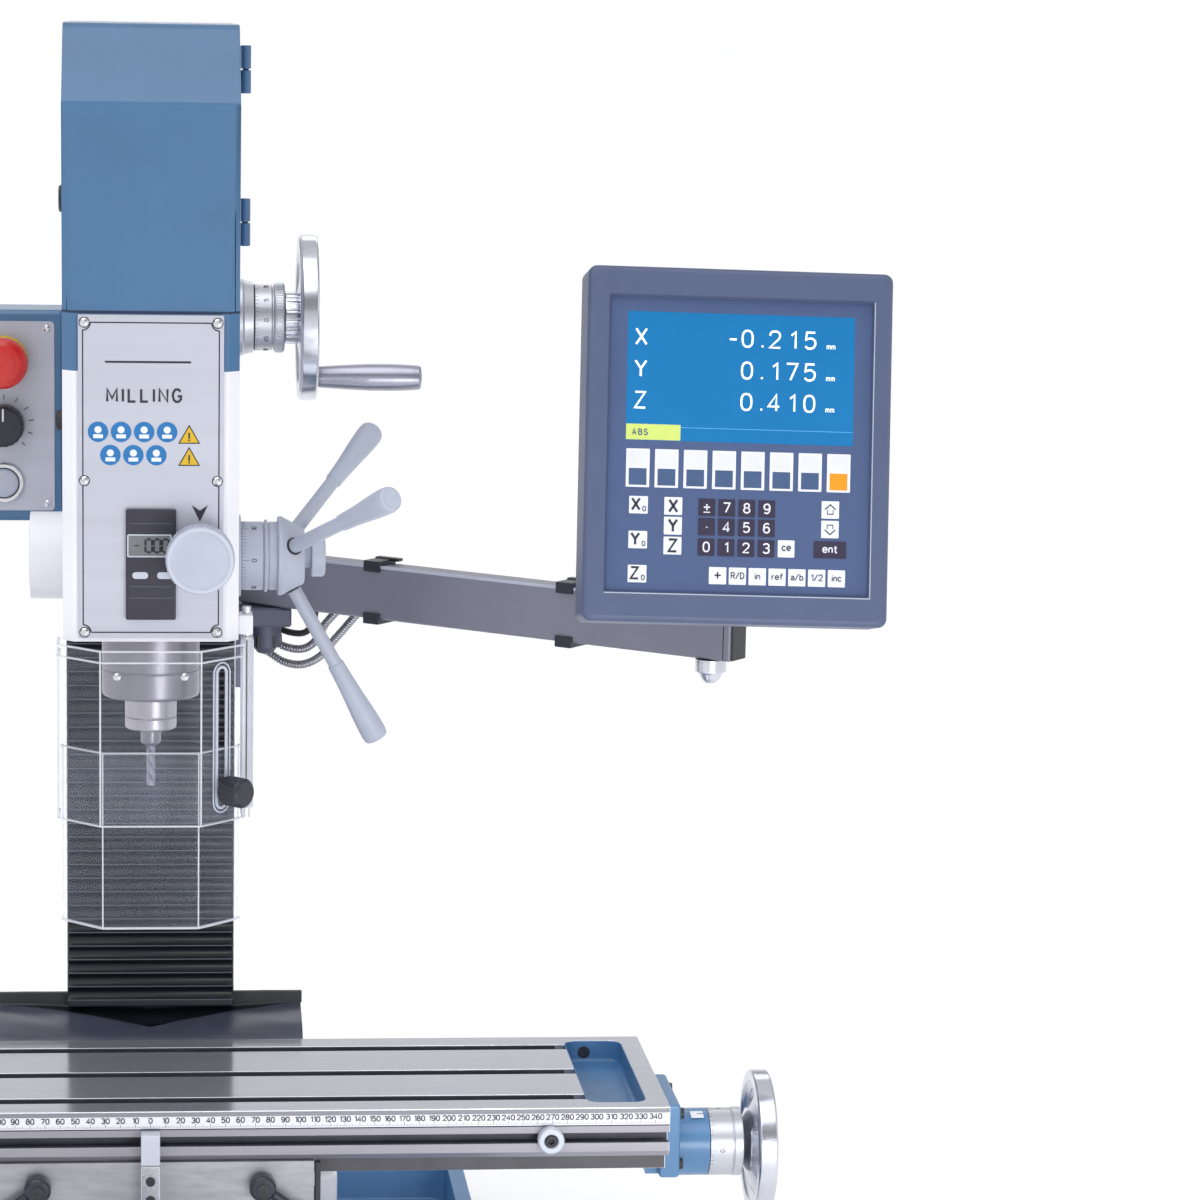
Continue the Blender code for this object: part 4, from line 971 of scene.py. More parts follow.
def ruler():
    """Ruler strip along the table's front, reading 10 mm to 340 mm each side of the middle."""
    low, high = RULER_Z
    face = TABLE_FRONT - 0.35
    place(
        "table_ruler", soft_block((-349.4, face, low), (349.4, TABLE_FRONT + 0.5, high), 0.12, 1), "ruler",
        "table"
    )
    marks = []
    for tick in range(-349, 350):
        tall = 2.9 if tick % 10 == 0 else 2.2 if tick % 5 == 0 else 1.4
        wide = 0.14 if tick % 10 == 0 else 0.1
        marks.append(block((tick - wide, face - 0.04, low + 0.2), (tick + wide, face + 0.1, low + tall)))
    place("ruler_ticks", merged(*marks), "ink", "table")
    numbers = []
    for tens in range(-34, 35):
        spot = Matrix.Translation((tens * 10.0, face - 0.02, low + 5.4))
        numbers.append(lettering(str(abs(tens * 10)), 4.9, spot, 0.2))
    place("ruler_numbers", merged(*numbers), "ink", "table")
    # A dark line just below the ruler strip, drawn flat: painted shade under its lower edge.
    line = soft_block((-349.8, TABLE_FRONT - 0.15, low - 1.3), (349.8, TABLE_FRONT + 0.3, low - 0.5), 0.05, 1)
    place("ruler_edge_shade", line, "ink", "table")


def pocket(side):
    """Blue paint in the end pocket: a thin lining with a rounded floor and its drain hole."""
    word = "right" if side > 0 else "left"
    centre = (side * sum(POCKET_X) / 2, sum(POCKET_Y) / 2)
    half_x, half_y = (POCKET_X[1] - POCKET_X[0]) / 2 - 0.05, (POCKET_Y[1] - POCKET_Y[0]) / 2 - 0.05
    floor = TABLE_TOP - POCKET_DEPTH

    def ring(inset, radius, z):
        outline = rounded_rectangle(half_x - inset, half_y - inset, radius, centre, 8)
        return [(x, y, z) for x, y in outline]

    lining = stacked([ring(0, 9, TABLE_TOP - 0.25), ring(0, 9, floor + 0.05)])
    cut_rings = [ring(3.4, 6.0, floor + 0.5)]
    for i in range(1, 7):
        angle = math.pi / 2 * i / 6
        cut_rings.append(
            ring(0.5 + 3 - 3 * math.sin(angle), 6.0 + 2.5 * i / 6, floor + 0.5 + 3 - 3 * math.cos(angle))
        )
    cut_rings.append(ring(0.5, 8.5, TABLE_TOP + 1))
    hole_x = side * 310.0
    drain = rod(POCKET_Y[1] - 4, POCKET_Y[1] + 1, 4.0, "Y", (hole_x, 0, floor + 7.5), SMALL, 0)
    place(f"pocket_{word}", carved(lining, stacked(cut_rings), drain), "pocket_blue", "table")
    y = POCKET_Y[1]
    rim = turned(
        [(y - 0.9, 3.0), (y - 0.9, 4.4), (y - 0.1, 4.4), (y - 0.1, 3.0)], "Y", (hole_x, 0, floor + 7.5),
        SMALL, 0.1
    )
    place(f"pocket_drain_{word}", rim, "black", "table")
    # A dark disc inside the drain hole: painted shade for the hole's dark inside.
    plug = rod(y - 0.45, y - 0.1, 3.2, "Y", (hole_x, 0, floor + 7.5), SMALL, 0)
    place(f"pocket_drain_shade_{word}", plug, "black", "table")


def slot_linings():
    """Painted shade on the table: near-black inner faces of the T slots and of the slot along the front,
    darker copies of the table's iron on its front face, lower chamfer and top edge, and a dark strip on its
    recessed lower side.
    """
    shade_faces = []
    for y in (-63.0, 0.0, 63.0):
        shade_faces.append(block((-299, y + 5.75, 188.2), (288, y + 5.99, TABLE_TOP - 0.7)))
        shade_faces.append(block((-299, y - 5.99, 188.2), (288, y - 5.75, TABLE_TOP - 0.7)))
        shade_faces.append(block((-299, y - 10.3, 180.02), (288, y + 10.3, 180.3)))
        shade_faces.append(block((-299, y + 10.2, 180.3), (288, y + 10.45, 187.9)))
    place("slot_shade_faces", merged(*shade_faces), "slot", "table")
    shade_faces = [block((-349.5, -79.4, 172.2), (349.5, -79.05, 185.4))]
    shade_faces.append(block((-349.5, -89.7, 175.32), (349.5, -85, 175.55)))
    place("front_slot_shade_faces", merged(*shade_faces), "slot", "table")
    # Darker copies of the table's iron on its front face, lower chamfer and top edge: painted shade.
    y = TABLE_FRONT
    strips = [
        block(
            (-349.6, y - 0.14, low), (349.6, y + 0.1, high)
        ) for low, high in ((182.45, 187.0), (169.9, 175.2))
    ]
    chamfer = [(y - 0.14, 169.9), (y - 0.14, 169.3), (y + 4.3, 164.87), (y + 4.6, 165.1), (y + 0.1, 169.9)]
    strips.append(prism(chamfer, -349.6, 349.6, "X"))
    place("table_front_shaded", merged(*strips), "front", "table")
    place("table_top_edge_shaded", block((-349.6, y - 0.14, 196.3), (349.6, y + 0.1, 199.3)), "edge", "table")
    # A dark strip on the table's recessed lower side: painted shade.
    sides = [
        block((side * 230.5 - 119, -70.14, 151.3), (side * 230.5 + 119, -69.9, 164.9)) for side in (-1, 1)
    ]
    place("table_lower_side_shade", merged(*sides), "lower_side_shade", "table")


def table():
    refine("table", "table", "table", 0.35, 2)
    slot_linings()
    ruler()
    for side in (-1, 1):
        pocket(side)


def end_bracket(side):
    word = "right" if side > 0 else "left"
    refine(f"{word}_end_bracket", "lit_blue", "table", 1.6, 3)
    bolts = []
    for y, z in ((-31, 142), (31, 142), (-31, 178), (31, 178)):
        bolts.append(socket_screw(side * 364.7, y, z, 4.0, "X", side, 3.0))
    place(f"{word}_bracket_bolts", merged(*bolts), "black_steel", "table")
    low, high = sorted((side * 375.5, side * 384.5))
    plate = soft_block((low, -8.5, 171.3), (high, -0.5, 172.6), 0.3, 2)
    tilt = Matrix.Translation((0, 0, X_SCREW_Z)) @ spun(12, "X")
    plate = moved(plate, tilt @ Matrix.Translation((0, 0, -X_SCREW_Z)))
    place(f"{word}_index_plate", plate, "white", "table")
    mark = block((min(side * 384.0, side * 380), -4.7, 172.5), (max(side * 384.0, side * 380), -4.3, 172.8))
    mark = moved(mark, tilt @ Matrix.Translation((0, 0, -X_SCREW_Z)))
    place(f"{word}_index_mark", mark, "ink", "table")


def dial_marks(name, body, start, radius, centre, side=1, count=40, labels=None, axis="X"):
    """Graduations and numbers round a dial on an X axis, from its edge at start."""
    shapes = []
    for i in range(count):
        tall = 4.6 if i % 10 == 0 else 3.4 if i % 5 == 0 else 2.2
        low, high = sorted((start, start + side * tall))
        tick = block((low, -0.05, -0.11), (high, 0.1, 0.11))
        lift = Matrix.Translation((0, 0, radius * math.tau * i / count))
        shapes.append(wrapped(moved(tick, lift), centre, radius))
    step = count // len(labels) if labels else 0
    for i, label in enumerate(labels or ()):
        spot = Matrix.Translation((start + side * 8.2, 0.0, radius * math.tau * i * step / count))
        text = lettering(label, 4.4, spot @ spun(-90 * side, "Y"))
        shapes.append(wrapped(text, centre, radius))
    place(name, merged(*shapes), "ink", body)


def handwheel_shape(start, rim, bore, radius, axis, centre, side):
    """Hub, three spokes and a rounded rim: the CAD profile, with windows whose corners are round."""
    end = rim + 13.0
    profile = [
        (start, bore), (start, 13.4), (start + 1, 14.0), (rim + 3.5, radius - 13), (rim + 1.6, radius - 9)
    ]
    profile += [(rim, radius - 7.5), (rim, radius - 1.2), (rim + 1.2, radius), (end - 1.4, radius)]
    profile += [(end, radius - 1.6), (end, radius - 7), (end - 1.4, radius - 8.5), (end - 5, radius - 12)]
    profile += [(end - 1.5, 15.5), (end - 1, 14.5), (end - 1, bore)]
    wheel = turned([(side * a, r) for a, r in profile], axis, centre, ROUND, 0.5)
    inner, outer = 19.0, radius - 13.5
    windows = []
    for spoke in range(3):
        outline = []
        for r, turns in ((outer, range(13)), (inner, range(12, -1, -1))):
            for i in turns:
                angle = math.radians(120 * spoke + 24 + 72 * i / 12)
                corner = 1.5 if i in (0, 12) else 0.4 if i in (1, 11) else 0.0
                reach = r - corner if r == outer else r + corner
                outline.append((reach * math.cos(angle), reach * math.sin(angle)))
        spots = [(u + centre_2d(axis, centre)[0], v + centre_2d(axis, centre)[1]) for u, v in outline]
        ends = sorted((side * (rim - 2), side * (rim + 15)))
        windows.append(bevelled(prism(spots, *ends, axis), 1.6, 2, 50))
    return carved(wheel, *windows)


def centre_2d(axis, centre):
    return (centre[1], centre[2]) if axis == "X" else (centre[0], centre[2])


def x_screw():
    refine("x_leadscrew", "shaft", "x_screw", 0.3, 2)
    centre = (0, 0, X_SCREW_Z)
    for word, side in (("right", 1), ("left", -1)):
        wheel = handwheel_shape(412.3, 419.0, 6.4, 50.0, "X", centre, side)
        place(f"handwheel_x_{word}", wheel, "chrome", "x_screw", (f"x_handwheel_{word}",), 40)
        cap = turned([(425, 0), (425, 10), (431.5, 9), (432.4, 7.5), (432.4, 0)], "X", (0, 0, X_SCREW_Z), 48)
        if side < 0:
            cap = moved(cap, Matrix.Scale(-1, 4, (1, 0, 0)))
            bmesh.ops.reverse_faces(cap, faces=cap.faces)
        place(f"handwheel_cap_{word}", cap, "screw", "x_screw")
        points = [
            (388.6, 6.4), (388.6, 23.3), (389, 23.5), (404.6, 23.5), (405, 23.1), (405.6, 23.1), (406, 24.0)
        ]
        points += [(411.4, 24.0), (411.9, 23.5), (411.9, 6.4)]
        dial = turned([(side * a, r) for a, r in points], "X", centre, ROUND, 0.2)
        place(f"dial_x_{word}", dial, "dial", "x_screw", (f"x_dial_{word}",))
        dial_marks(
            f"dial_marks_{word}", "x_screw", side * 388.7, 23.5, centre, side, 40,
            [str(n) for n in range(0, 4)]
        )


def table_stops():
    for word, side in (("right", 1), ("left", -1)):
        x, z = side * STOP_X, FRONT_SLOT_Z
        points = [(-90.4, 4.2), (-90.4, 8.6), (-91, 9), (-97.4, 9), (-98.5, 8), (-98.5, 5.2), (-96.6, 4.2)]
        ring = turned(points, "Y", (x, 0, z), 64, 0.3)
        place(f"stop_ring_{word}", ring, "ring", f"stop_{word}", (f"table_stop_{word}",))
        head = turned([(-91, 0), (-91, 4.1), (-97, 4.1), (-97.6, 3.6), (-97.6, 0)], "Y", (x, 0, z), 48, 0.2)
        hexagon = turned([(-99, 0), (-99, 2.5), (-94.6, 2.5), (-94.6, 0)], "Y", (x, 0, z), 6, 0)
        place(f"stop_screw_{word}", carved(head, hexagon), "black_steel", f"stop_{word}")
        nut = soft_block((x - 7, -84.5, z - 6), (x + 7, -79.5, z + 6), 0.4, 2)
        place(f"stop_nut_{word}", nut, "steel", f"stop_{word}")


def y_screw():
    refine("y_leadscrew", "steel", "y_screw", 0.3, 2)
    centre = (0, 0, Y_SCREW_Z)
    wheel = handwheel_shape(258.3, 262.0, 5.4, 50.0, "Y", centre, -1)
    place("handwheel_y", wheel, "chrome", "y_screw", ("y_handwheel",), 40)
    dial = [
        (239.4, 5.4), (239.4, 23.5), (252, 23.5), (252.6, 23.1), (253.2, 23.1), (253.6, 24), (258, 24),
        (258, 5.4)
    ]
    place("dial_y", turned([(-a, r) for a, r in dial], "Y", centre, ROUND, 0.2), "dial", "y_screw")
    shapes = []
    for i in range(40):
        tall = 4.6 if i % 10 == 0 else 3.4 if i % 5 == 0 else 2.2
        tick = block((-0.11, -239.6 - tall, 23.4), (0.11, -239.6, 23.55))
        turn = Matrix.Translation(centre) @ spun(360 * i / 40, "Y")
        shapes.append(moved(tick, turn))
    place("dial_marks_y", merged(*shapes), "ink", "y_screw")


# Z feed and carriage.


def z_feed():
    centre = (0, Z_SCREW_Y, Z_WHEEL_Z)
    shaft = [(14, 0), (14, 12), (26, 24), (30, 24), (30, 8), (90, 8), (97, 8), (97, 19), (106, 19), (106, 0)]
    hub = turned(shaft, "X", centre, ROUND, 0.4)
    flutes = []
    for i in range(18):
        angle = math.tau * i / 18
        spot = (0, Z_SCREW_Y + 20.2 * math.cos(angle), Z_WHEEL_Z + 20.2 * math.sin(angle))
        flutes.append(rod(98.0, 107, 2.1, "X", spot, 12, 0))
    place("z_wheel_hub", carved(hub, *flutes), "chrome", "z_wheel", ("z_handwheel",), 40)
    rim = [
        (105.8, 0), (105.8, 18), (107, 24), (110.5, 44), (108.6, 47.5), (106.8, 48.5), (106.4, 50),
        (106.4, 58)
    ]
    rim += [(107.4, 58.4), (108.2, 60), (118.8, 60), (120, 58.8), (120, 50), (119.4, 48.5), (116.5, 46)]
    rim += [(114.8, 30), (116, 18), (118.6, 15), (119, 13.5), (119, 0)]
    place("z_wheel_rim", turned(rim, "X", centre, 128, 0.7), "chrome", "z_wheel", smooth=50)
    flange = turned(
        [(61.2, 12), (61.2, 27.5), (62, 28), (66, 28), (67, 27), (74.0, 25.4), (74.0, 12)], "X", centre, ROUND
    )
    place("z_flange", flange, "dial", "machine_base")
    points = [
        (74.4, 8.4), (74.4, 23.6), (75, 24), (86.8, 24), (87.2, 23.6), (87.6, 22.6), (88.4, 22.6),
        (88.9, 24.6)
    ]
    points += [(90, 25), (95.4, 25), (96.4, 24.2), (96.6, 23.4), (96.6, 8.4)]
    place("z_dial_body", turned(points, "X", centre, ROUND, 0.15), "dial", "z_wheel", ("z_dial",))
    knurl = []
    for i in range(72):
        turn = Matrix.Translation(centre) @ spun(360 * i / 72, "X")
        knurl.append(moved(soft_block((90.2, -0.55, 24.6), (95.2, 0.55, 25.4), 0.15, 1), turn))
    place("z_dial_knurl", merged(*knurl), "dial", "z_wheel")
    dial_marks("z_dial_marks", "z_wheel", 74.7, 24.0, centre, 1, 50, [str(n) for n in range(0, 50, 5)])
    grip_centre = (0, Z_SCREW_Y, Z_WHEEL_Z - 43)
    points = [(119.6, 0), (119.6, 5), (121, 7.4), (124, 7.9), (140, 8.9), (158, 9.8), (176, 9.9), (190, 9.3)]
    points += [(195.4, 8.8), (196.8, 7.8), (197, 0)]
    place(
        "z_grip_body", turned(points, "X", grip_centre, 64, 0.6), "grip", "z_grip", ("z_handwheel_grip",), 50
    )
    place("z_grip_pin", rod(196.4, 197.3, 3.4, "X", grip_centre, SMALL), "black_steel", "z_grip")
    refine("z_leadscrew", "steel", "z_screw", 0.4, 2)
    refine("head_carriage", "white", "carriage", 1.0, 3)
    gib = [socket_screw(-58, 130, z, 3.4, "X", -1, 3.0) for z in (585, 620, 655, 688)]
    place("carriage_gib_screws", merged(*gib), "black_steel", "carriage")
    lock = turned([(-58, 0), (-58, 7), (-66, 7), (-67, 5), (-67, 0)], "X", (0, 142, 638), SMALL)
    place("carriage_lock", lock, "black_steel", "carriage")


# Head.


def outer_edge(edge):
    """Picks the upright front corners and the outer edges of the head casting, not its bores."""
    middle = (edge.verts[0].co + edge.verts[1].co) / 2
    return abs(middle.x) > 49 or middle.y < -58


def head_casting():
    shape = bevelled(cad_shape("head_casting"), 1.3, 3, 30, outer_edge)
    place("head_body", shape, "head", "head", ("head_casting",), 35)


def cover_outline(inset, bottom):
    """Side outline (y, z) of the cover door: upright front, a rounded knee, then slanted to the flat top."""
    front, back, top = HEAD_FRONT + inset, COVER_BACK, COVER_TOP - inset
    lean = inset * 0.4
    knee = [(front, 864.4 - lean)]
    corner, before = Vector((front, 866 - lean)), Vector((front, 864.4 - lean))
    after = Vector((front + 1.2, 867.2 - lean))
    for i in range(1, 6):
        t = i / 6
        knee.append(tuple(before * (1 - t) ** 2 + corner * 2 * t * (1 - t) + after * t**2))
    knee.append(tuple(after))
    crown, last, flat = Vector((lean - 10, top)), Vector((lean - 14, top - 4)), Vector((lean - 4, top))
    brow = [tuple(last)]
    for i in range(1, 5):
        t = i / 5
        brow.append(tuple(last * (1 - t) ** 2 + crown * 2 * t * (1 - t) + flat * t**2))
    return [(back, bottom), (front, bottom)] + knee + brow + [tuple(flat), (back, top)]


def cover_door():
    low = HEAD_Z[1] + 0.3
    outer = prism(cover_outline(0, low), -HEAD_HALF_X, HEAD_HALF_X, "X")

    def along_sides(edge):
        ends = [v.co for v in edge.verts]
        on_side = all(abs(abs(p.x) - HEAD_HALF_X) < 0.01 for p in ends) and ends[0].x * ends[1].x > 0
        lowest = all(abs(p.z - low) < 0.01 for p in ends)
        rear = all(abs(p.y - COVER_BACK) < 0.01 for p in ends)
        return on_side and not lowest and not rear

    def upright_front(edge):
        ends = [v.co for v in edge.verts]
        in_front = all(abs(p.y - HEAD_FRONT) < 0.01 for p in ends)
        return along_sides(edge) and in_front and abs(ends[0].z - ends[1].z) > 20

    def bevel_edges(edges, width, segments):
        bmesh.ops.bevel(
            outer,
            geom=edges,
            offset=width,
            segments=segments,
            profile=0.5,
            affect="EDGES",
            clamp_overlap=False,
        )

    bevel_edges([e for e in outer.edges if upright_front(e)], 6.5, 1)
    bevel_edges([e for e in outer.edges if along_sides(e) and not upright_front(e)], 0.9, 2)
    hollow = [(y + 2 * (y == COVER_BACK), z) for y, z in cover_outline(3.0, low - 2)]
    shell = carved(outer, prism(hollow, 3.0 - HEAD_HALF_X, HEAD_HALF_X - 3.0, "X"))
    place("cover_door_skin", shell, "blue", "cover", ("cover_door",), 40)
    for word, centre in (("upper", 886.0), ("lower", 784.0)):
        x, y = 63.2, 40.0
        top = turned(
            [(centre + 0.4, 0), (centre + 0.4, 3.6), (centre + 16, 3.6), (centre + 16, 0)], "Z", (x, y, 0),
            48, 0.8
        )
        leaf = soft_block((57.6, y - 14, centre + 1), (60.2, y - 0.5, centre + 15.4), 0.5, 2)
        place(f"hinge_{word}_door", merged(top, leaf), "hinge", "cover")
        low_knuckle = turned([(centre - 16, 0), (centre - 16, 3.6), (centre - 0.4, 3.6), (centre - 0.4, 0)],
                             "Z", (x, y, 0), 48, 0.8)
        leaf = soft_block((57.6, y + 0.8, centre - 15.4), (60.2, y + 14, centre - 1), 0.5, 2)
        place(f"hinge_{word}_frame", merged(low_knuckle, leaf), "hinge", "head")
        pin = rod(centre - 0.5, centre + 0.5, 2.0, "Z", (x, y, 0), SMALL, 0.1)
        place(f"hinge_{word}_pin", pin, "navy", "head")
    refine("drive_housing", "blue", "head", 1.6, 3)
    latch = turned([(-58, 0), (-58, 9), (-60.5, 9), (-61.4, 7.6), (-61.4, 0)], "X", (0, 10, 800), 48)
    place("cover_latch", latch, "black", "cover")
    # Dark strips on the housing's side in place of vent slots: painted shade.
    vent_shades = [soft_block((-58.4, 78 + 9 * i, 790), (-57.6, 82 + 9 * i, 850), 0.15, 1) for i in range(6)]
    place("housing_vent_shade", merged(*vent_shades), "navy", "head")


def seal():
    """Painted shade: a dark strip filling the gap under the cover, where its lip stands over the head."""
    low = HEAD_Z[1] - 1.3
    outline = [
        (-58.1 + 7.4, -60.15), (58.1 - 7.4, -60.15), (58.15, -52.6), (58.15, 105), (-58.15, 105),
        (-58.15, -52.6)
    ]
    place("cover_gap_painted_shade", prism(outline, low, HEAD_Z[1] + 0.28), "navy", "head")


def drive():
    refine("drive_motor", "black_steel", "head", 0.8, 2)
    for name, body in (("spindle_pulley", "spindle_pulley"), ("motor_pulley", "motor_pulley")):
        refine(name, "dial", body, 0.4, 2)
    refine("drive_belt", "rubber", "head", 0.4, 2)


def corner_arc(x, z, radius, start, width, face):
    """Quarter of a ring, from the start angle on: a notched corner of the plate's outline."""
    directions = []
    for i in range(13):
        angle = math.radians(start + 90 * i / 12)
        directions.append((math.cos(angle), math.sin(angle)))
    outline = [(x + radius * c + width * c, z + radius * w + width * w) for c, w in directions]
    outline += [(x + radius * c - width * c, z + radius * w - width * w) for c, w in reversed(directions)]
    return prism(outline, face, face + 0.3, "Y")


def front_plate():
    plate = soft_block((-47.5, PLATE_FACE, 516), (47.5, -60.3, 729), 0.4, 2)
    x, z = FINE_KNOB
    hole = rod(-64, -59, 6.2, "Y", (x, 0, z), SMALL, 0)
    place("head_plate", carved(plate, hole), "plate", "head", ("front_panel",))
    face = PLATE_FACE - 0.12
    half_x, low, high, notch = 44.4, 519.8, 723.9, 5.0
    width = 0.42
    lines = []
    for x in (-half_x, half_x):
        lines.append(block((x - width, face, low + notch), (x + width, face + 0.3, high - notch)))
    for z in (low, high):
        lines.append(block((notch - half_x, face, z - width), (half_x - notch, face + 0.3, z + width)))
    starts = {(-1, low): 0, (1, low): 90, (1, high): 180, (-1, high): 270}
    for (side, z), start in starts.items():
        lines.append(corner_arc(side * half_x, z, notch, start, width, face))
    place("plate_outline", merged(*lines), "ink", "head")
    # The dark rings round the screw heads are painted shade in the gap round each head.
    screws, rings = [], []
    near, deep = PLATE_FACE - 0.14, PLATE_FACE + 0.2
    ring_points = [(near, 3.1), (near, 3.6), (deep, 3.6), (deep, 3.1)]
    for x in (-half_x + 1.0, half_x - 1.0):
        for z in (low, 620.3, high):
            screws.append(dome_screw(x, PLATE_FACE, z, 3.1))
            rings.append(turned(ring_points, "Y", (x, 0, z), 48, 0))
    place("plate_screws", merged(*screws), "screw", "head")
    place("plate_screw_shade_rings", merged(*rings), "ink", "head")


DISCS = (
    (-34.5, 652.5), (-19.5, 652.5), (-4.5, 652.5), (10.5, 652.5), (-26.5, 637.3), (-11.5, 637.3), (3.5, 637.3)
)
TRIANGLES = ((24.9, 649.2), (24.9, 634.6))


def plate_signs():
    """Blue discs and yellow triangles, each with a plain mark in place of a picture."""
    discs, triangles, edges, dots = [], [], [], []
    for x, z in DISCS:
        discs.append(rod(PLATE_FACE - 0.12, PLATE_FACE + 0.2, 6.7, "Y", (x, 0, z), 64, 0.05))
        dots.append(rod(PLATE_FACE - 0.16, PLATE_FACE + 0.2, 2.3, "Y", (x, 0, z + 1.4), 48, 0.03))
        dots.append(
            soft_block((x - 3.2, PLATE_FACE - 0.16, z - 4.2), (x + 3.2, PLATE_FACE + 0.2, z - 1.6), 0.06, 1)
        )
    for x, z in TRIANGLES:
        for size, depth, bucket in ((8.4, 0.1, edges), (6.9, 0.16, triangles)):
            outline = []
            for i in range(3):
                angle = math.radians(90 + 120 * i)
                outline.append((x + size * math.cos(angle), z + size * math.sin(angle)))
            bucket.append(prism(outline, PLATE_FACE - depth, PLATE_FACE + 0.2, "Y"))
    place("plate_discs", merged(*discs), "disc_blue", "head")
    place("plate_disc_dots", merged(*dots), "key_white", "head")
    place("plate_triangles", merged(*triangles), "sign_yellow", "head")
    for x, z in TRIANGLES:
        edges.append(block((x - 0.6, PLATE_FACE - 0.22, z - 0.8), (x + 0.6, PLATE_FACE + 0.2, z + 3.0)))
        edges.append(block((x - 0.6, PLATE_FACE - 0.22, z - 2.5), (x + 0.6, PLATE_FACE + 0.2, z - 1.4)))
    place("plate_triangle_edges", merged(*edges), "ink", "head")
    bar = soft_block((-30, PLATE_FACE - 0.1, 697.6), (26, PLATE_FACE + 0.2, 699.0), 0.05, 1)
    word = lettering("MILLING", 11.6, Matrix.Translation((-4.5, PLATE_FACE - 0.1, 676.5)), 0.19, gap=2.6)
    place("plate_words", merged(bar, word), "ink", "head")


def segments(digit, x, z, height, face):
    """Seven-segment figure as slanted bars."""
    lit = {"0": "abcdef", "1": "bc", "2": "abged", "3": "abgcd", "5": "afgcd"}[digit]
    width, bar = height * 0.5, height * 0.09
    half = height / 2
    spans = {
        "a": ((0, half), (width, half)),
        "g": ((0, 0), (width, 0)),
        "d": ((0, -half), (width, -half)),
        "f": ((0, 0), (0, half)),
        "b": ((width, 0), (width, half)),
        "e": ((0, -half), (0, 0)),
        "c": ((width, -half), (width, 0)),
    }
    shapes = []
    for name in lit:
        (x0, z0), (x1, z1) = spans[name]
        grow = bar if x0 == x1 else 0
        inset = 0 if x0 == x1 else 2 * bar
        trim = bar * 0.4 if grow else -bar
        low = (x + x0 - bar + inset, face, z + z0 + trim)
        high = (x + x1 + bar - inset, face + 0.2, z + z1 - trim)
        shapes.append(block(low, high))
    return shapes


def depth_readout():
    body = soft_block((-16.4, -67, 528.6), (16.4, -62.9, 602), 1.2, 3)
    place("readout_case", body, "readout", "head", ("depth_readout",))
    window = prism(rounded_rectangle(14.6, 7.6, 1.2, (-1.0, 578)), -67.4, -66.6, "Y")
    inside = prism(rounded_rectangle(13.7, 6.7, 0.8, (-1.0, 578)), -68, -67.05, "Y")
    place("readout_frame", carved(window, inside), "grey_light", "head")
    place(
        "readout_lcd", prism(rounded_rectangle(13.6, 6.6, 0.7, (-1.0, 578)), -67.12, -66.7, "Y"), "lcd",
        "head"
    )
    shapes = []
    for i, digit in enumerate("000"):
        shapes += segments(digit, -3.6 + 5.5 * i, 578, 8.6, -67.22)
    shapes.append(block((-11, -67.22, 577.7), (-8, -67.0, 578.5)))
    place("readout_digits", merged(*shapes), "ink", "head")
    button = prism(rounded_rectangle(5.2, 2.3, 2.2, (9.2, 558.4)), -68.2, -66.8, "Y")
    other = prism(rounded_rectangle(5.2, 2.3, 2.2, (-7.0, 558.4)), -68.2, -66.8, "Y")
    place("readout_buttons", merged(bevelled(button, 0.4, 2), bevelled(other, 0.4, 2)), "grey_light", "head")
    lines = [block((-14, -67.15, z), (14, -66.9, z + 0.5)) for z in (550.6, 543, 592.5)]
    place("readout_lines", merged(*lines), "bracket", "head")


def fine_feed():
    x, z = FINE_KNOB
    points = [
        (-95, 0), (-94.9, 17.4), (-95.1, 18.6), (-95.5, 19.4), (-95.5, 21), (-94.6, 22.2), (-78.6, 22.4)
    ]
    points += [(-76.6, 21.4), (-76, 19.8), (-76, 5), (-40, 5), (-40, 0)]
    place(
        "fine_knob", turned(points, "Y", (x, 0, z), 128, 0.35), "grey", "fine_feed", ("fine_feed_knob",), 50
    )
    rim = turned([(-95.62, 19.6), (-95.62, 21.2), (-95.2, 21.6), (-95.0, 19.2)], "Y", (x, 0, z), 128, 0.15)
    place("fine_knob_rim", rim, "grey_light", "fine_feed")
    knurl = []
    for i in range(60):
        turn = Matrix.Translation((x, 0, z)) @ spun(360 * i / 60, "Y")
        knurl.append(moved(soft_block((-0.5, -92, 22.0), (0.5, -80, 22.7), 0.2, 1), turn))
    place("fine_knob_knurl", merged(*knurl), "grey", "fine_feed")
    arrow = [(x - 5.4, z + 32.6), (x, z + 29.0), (x + 5.4, z + 32.6), (x, z + 21.6)]
    place("fine_arrow", prism(arrow, PLATE_FACE - 0.15, PLATE_FACE + 0.2, "Y"), "ink", "head")


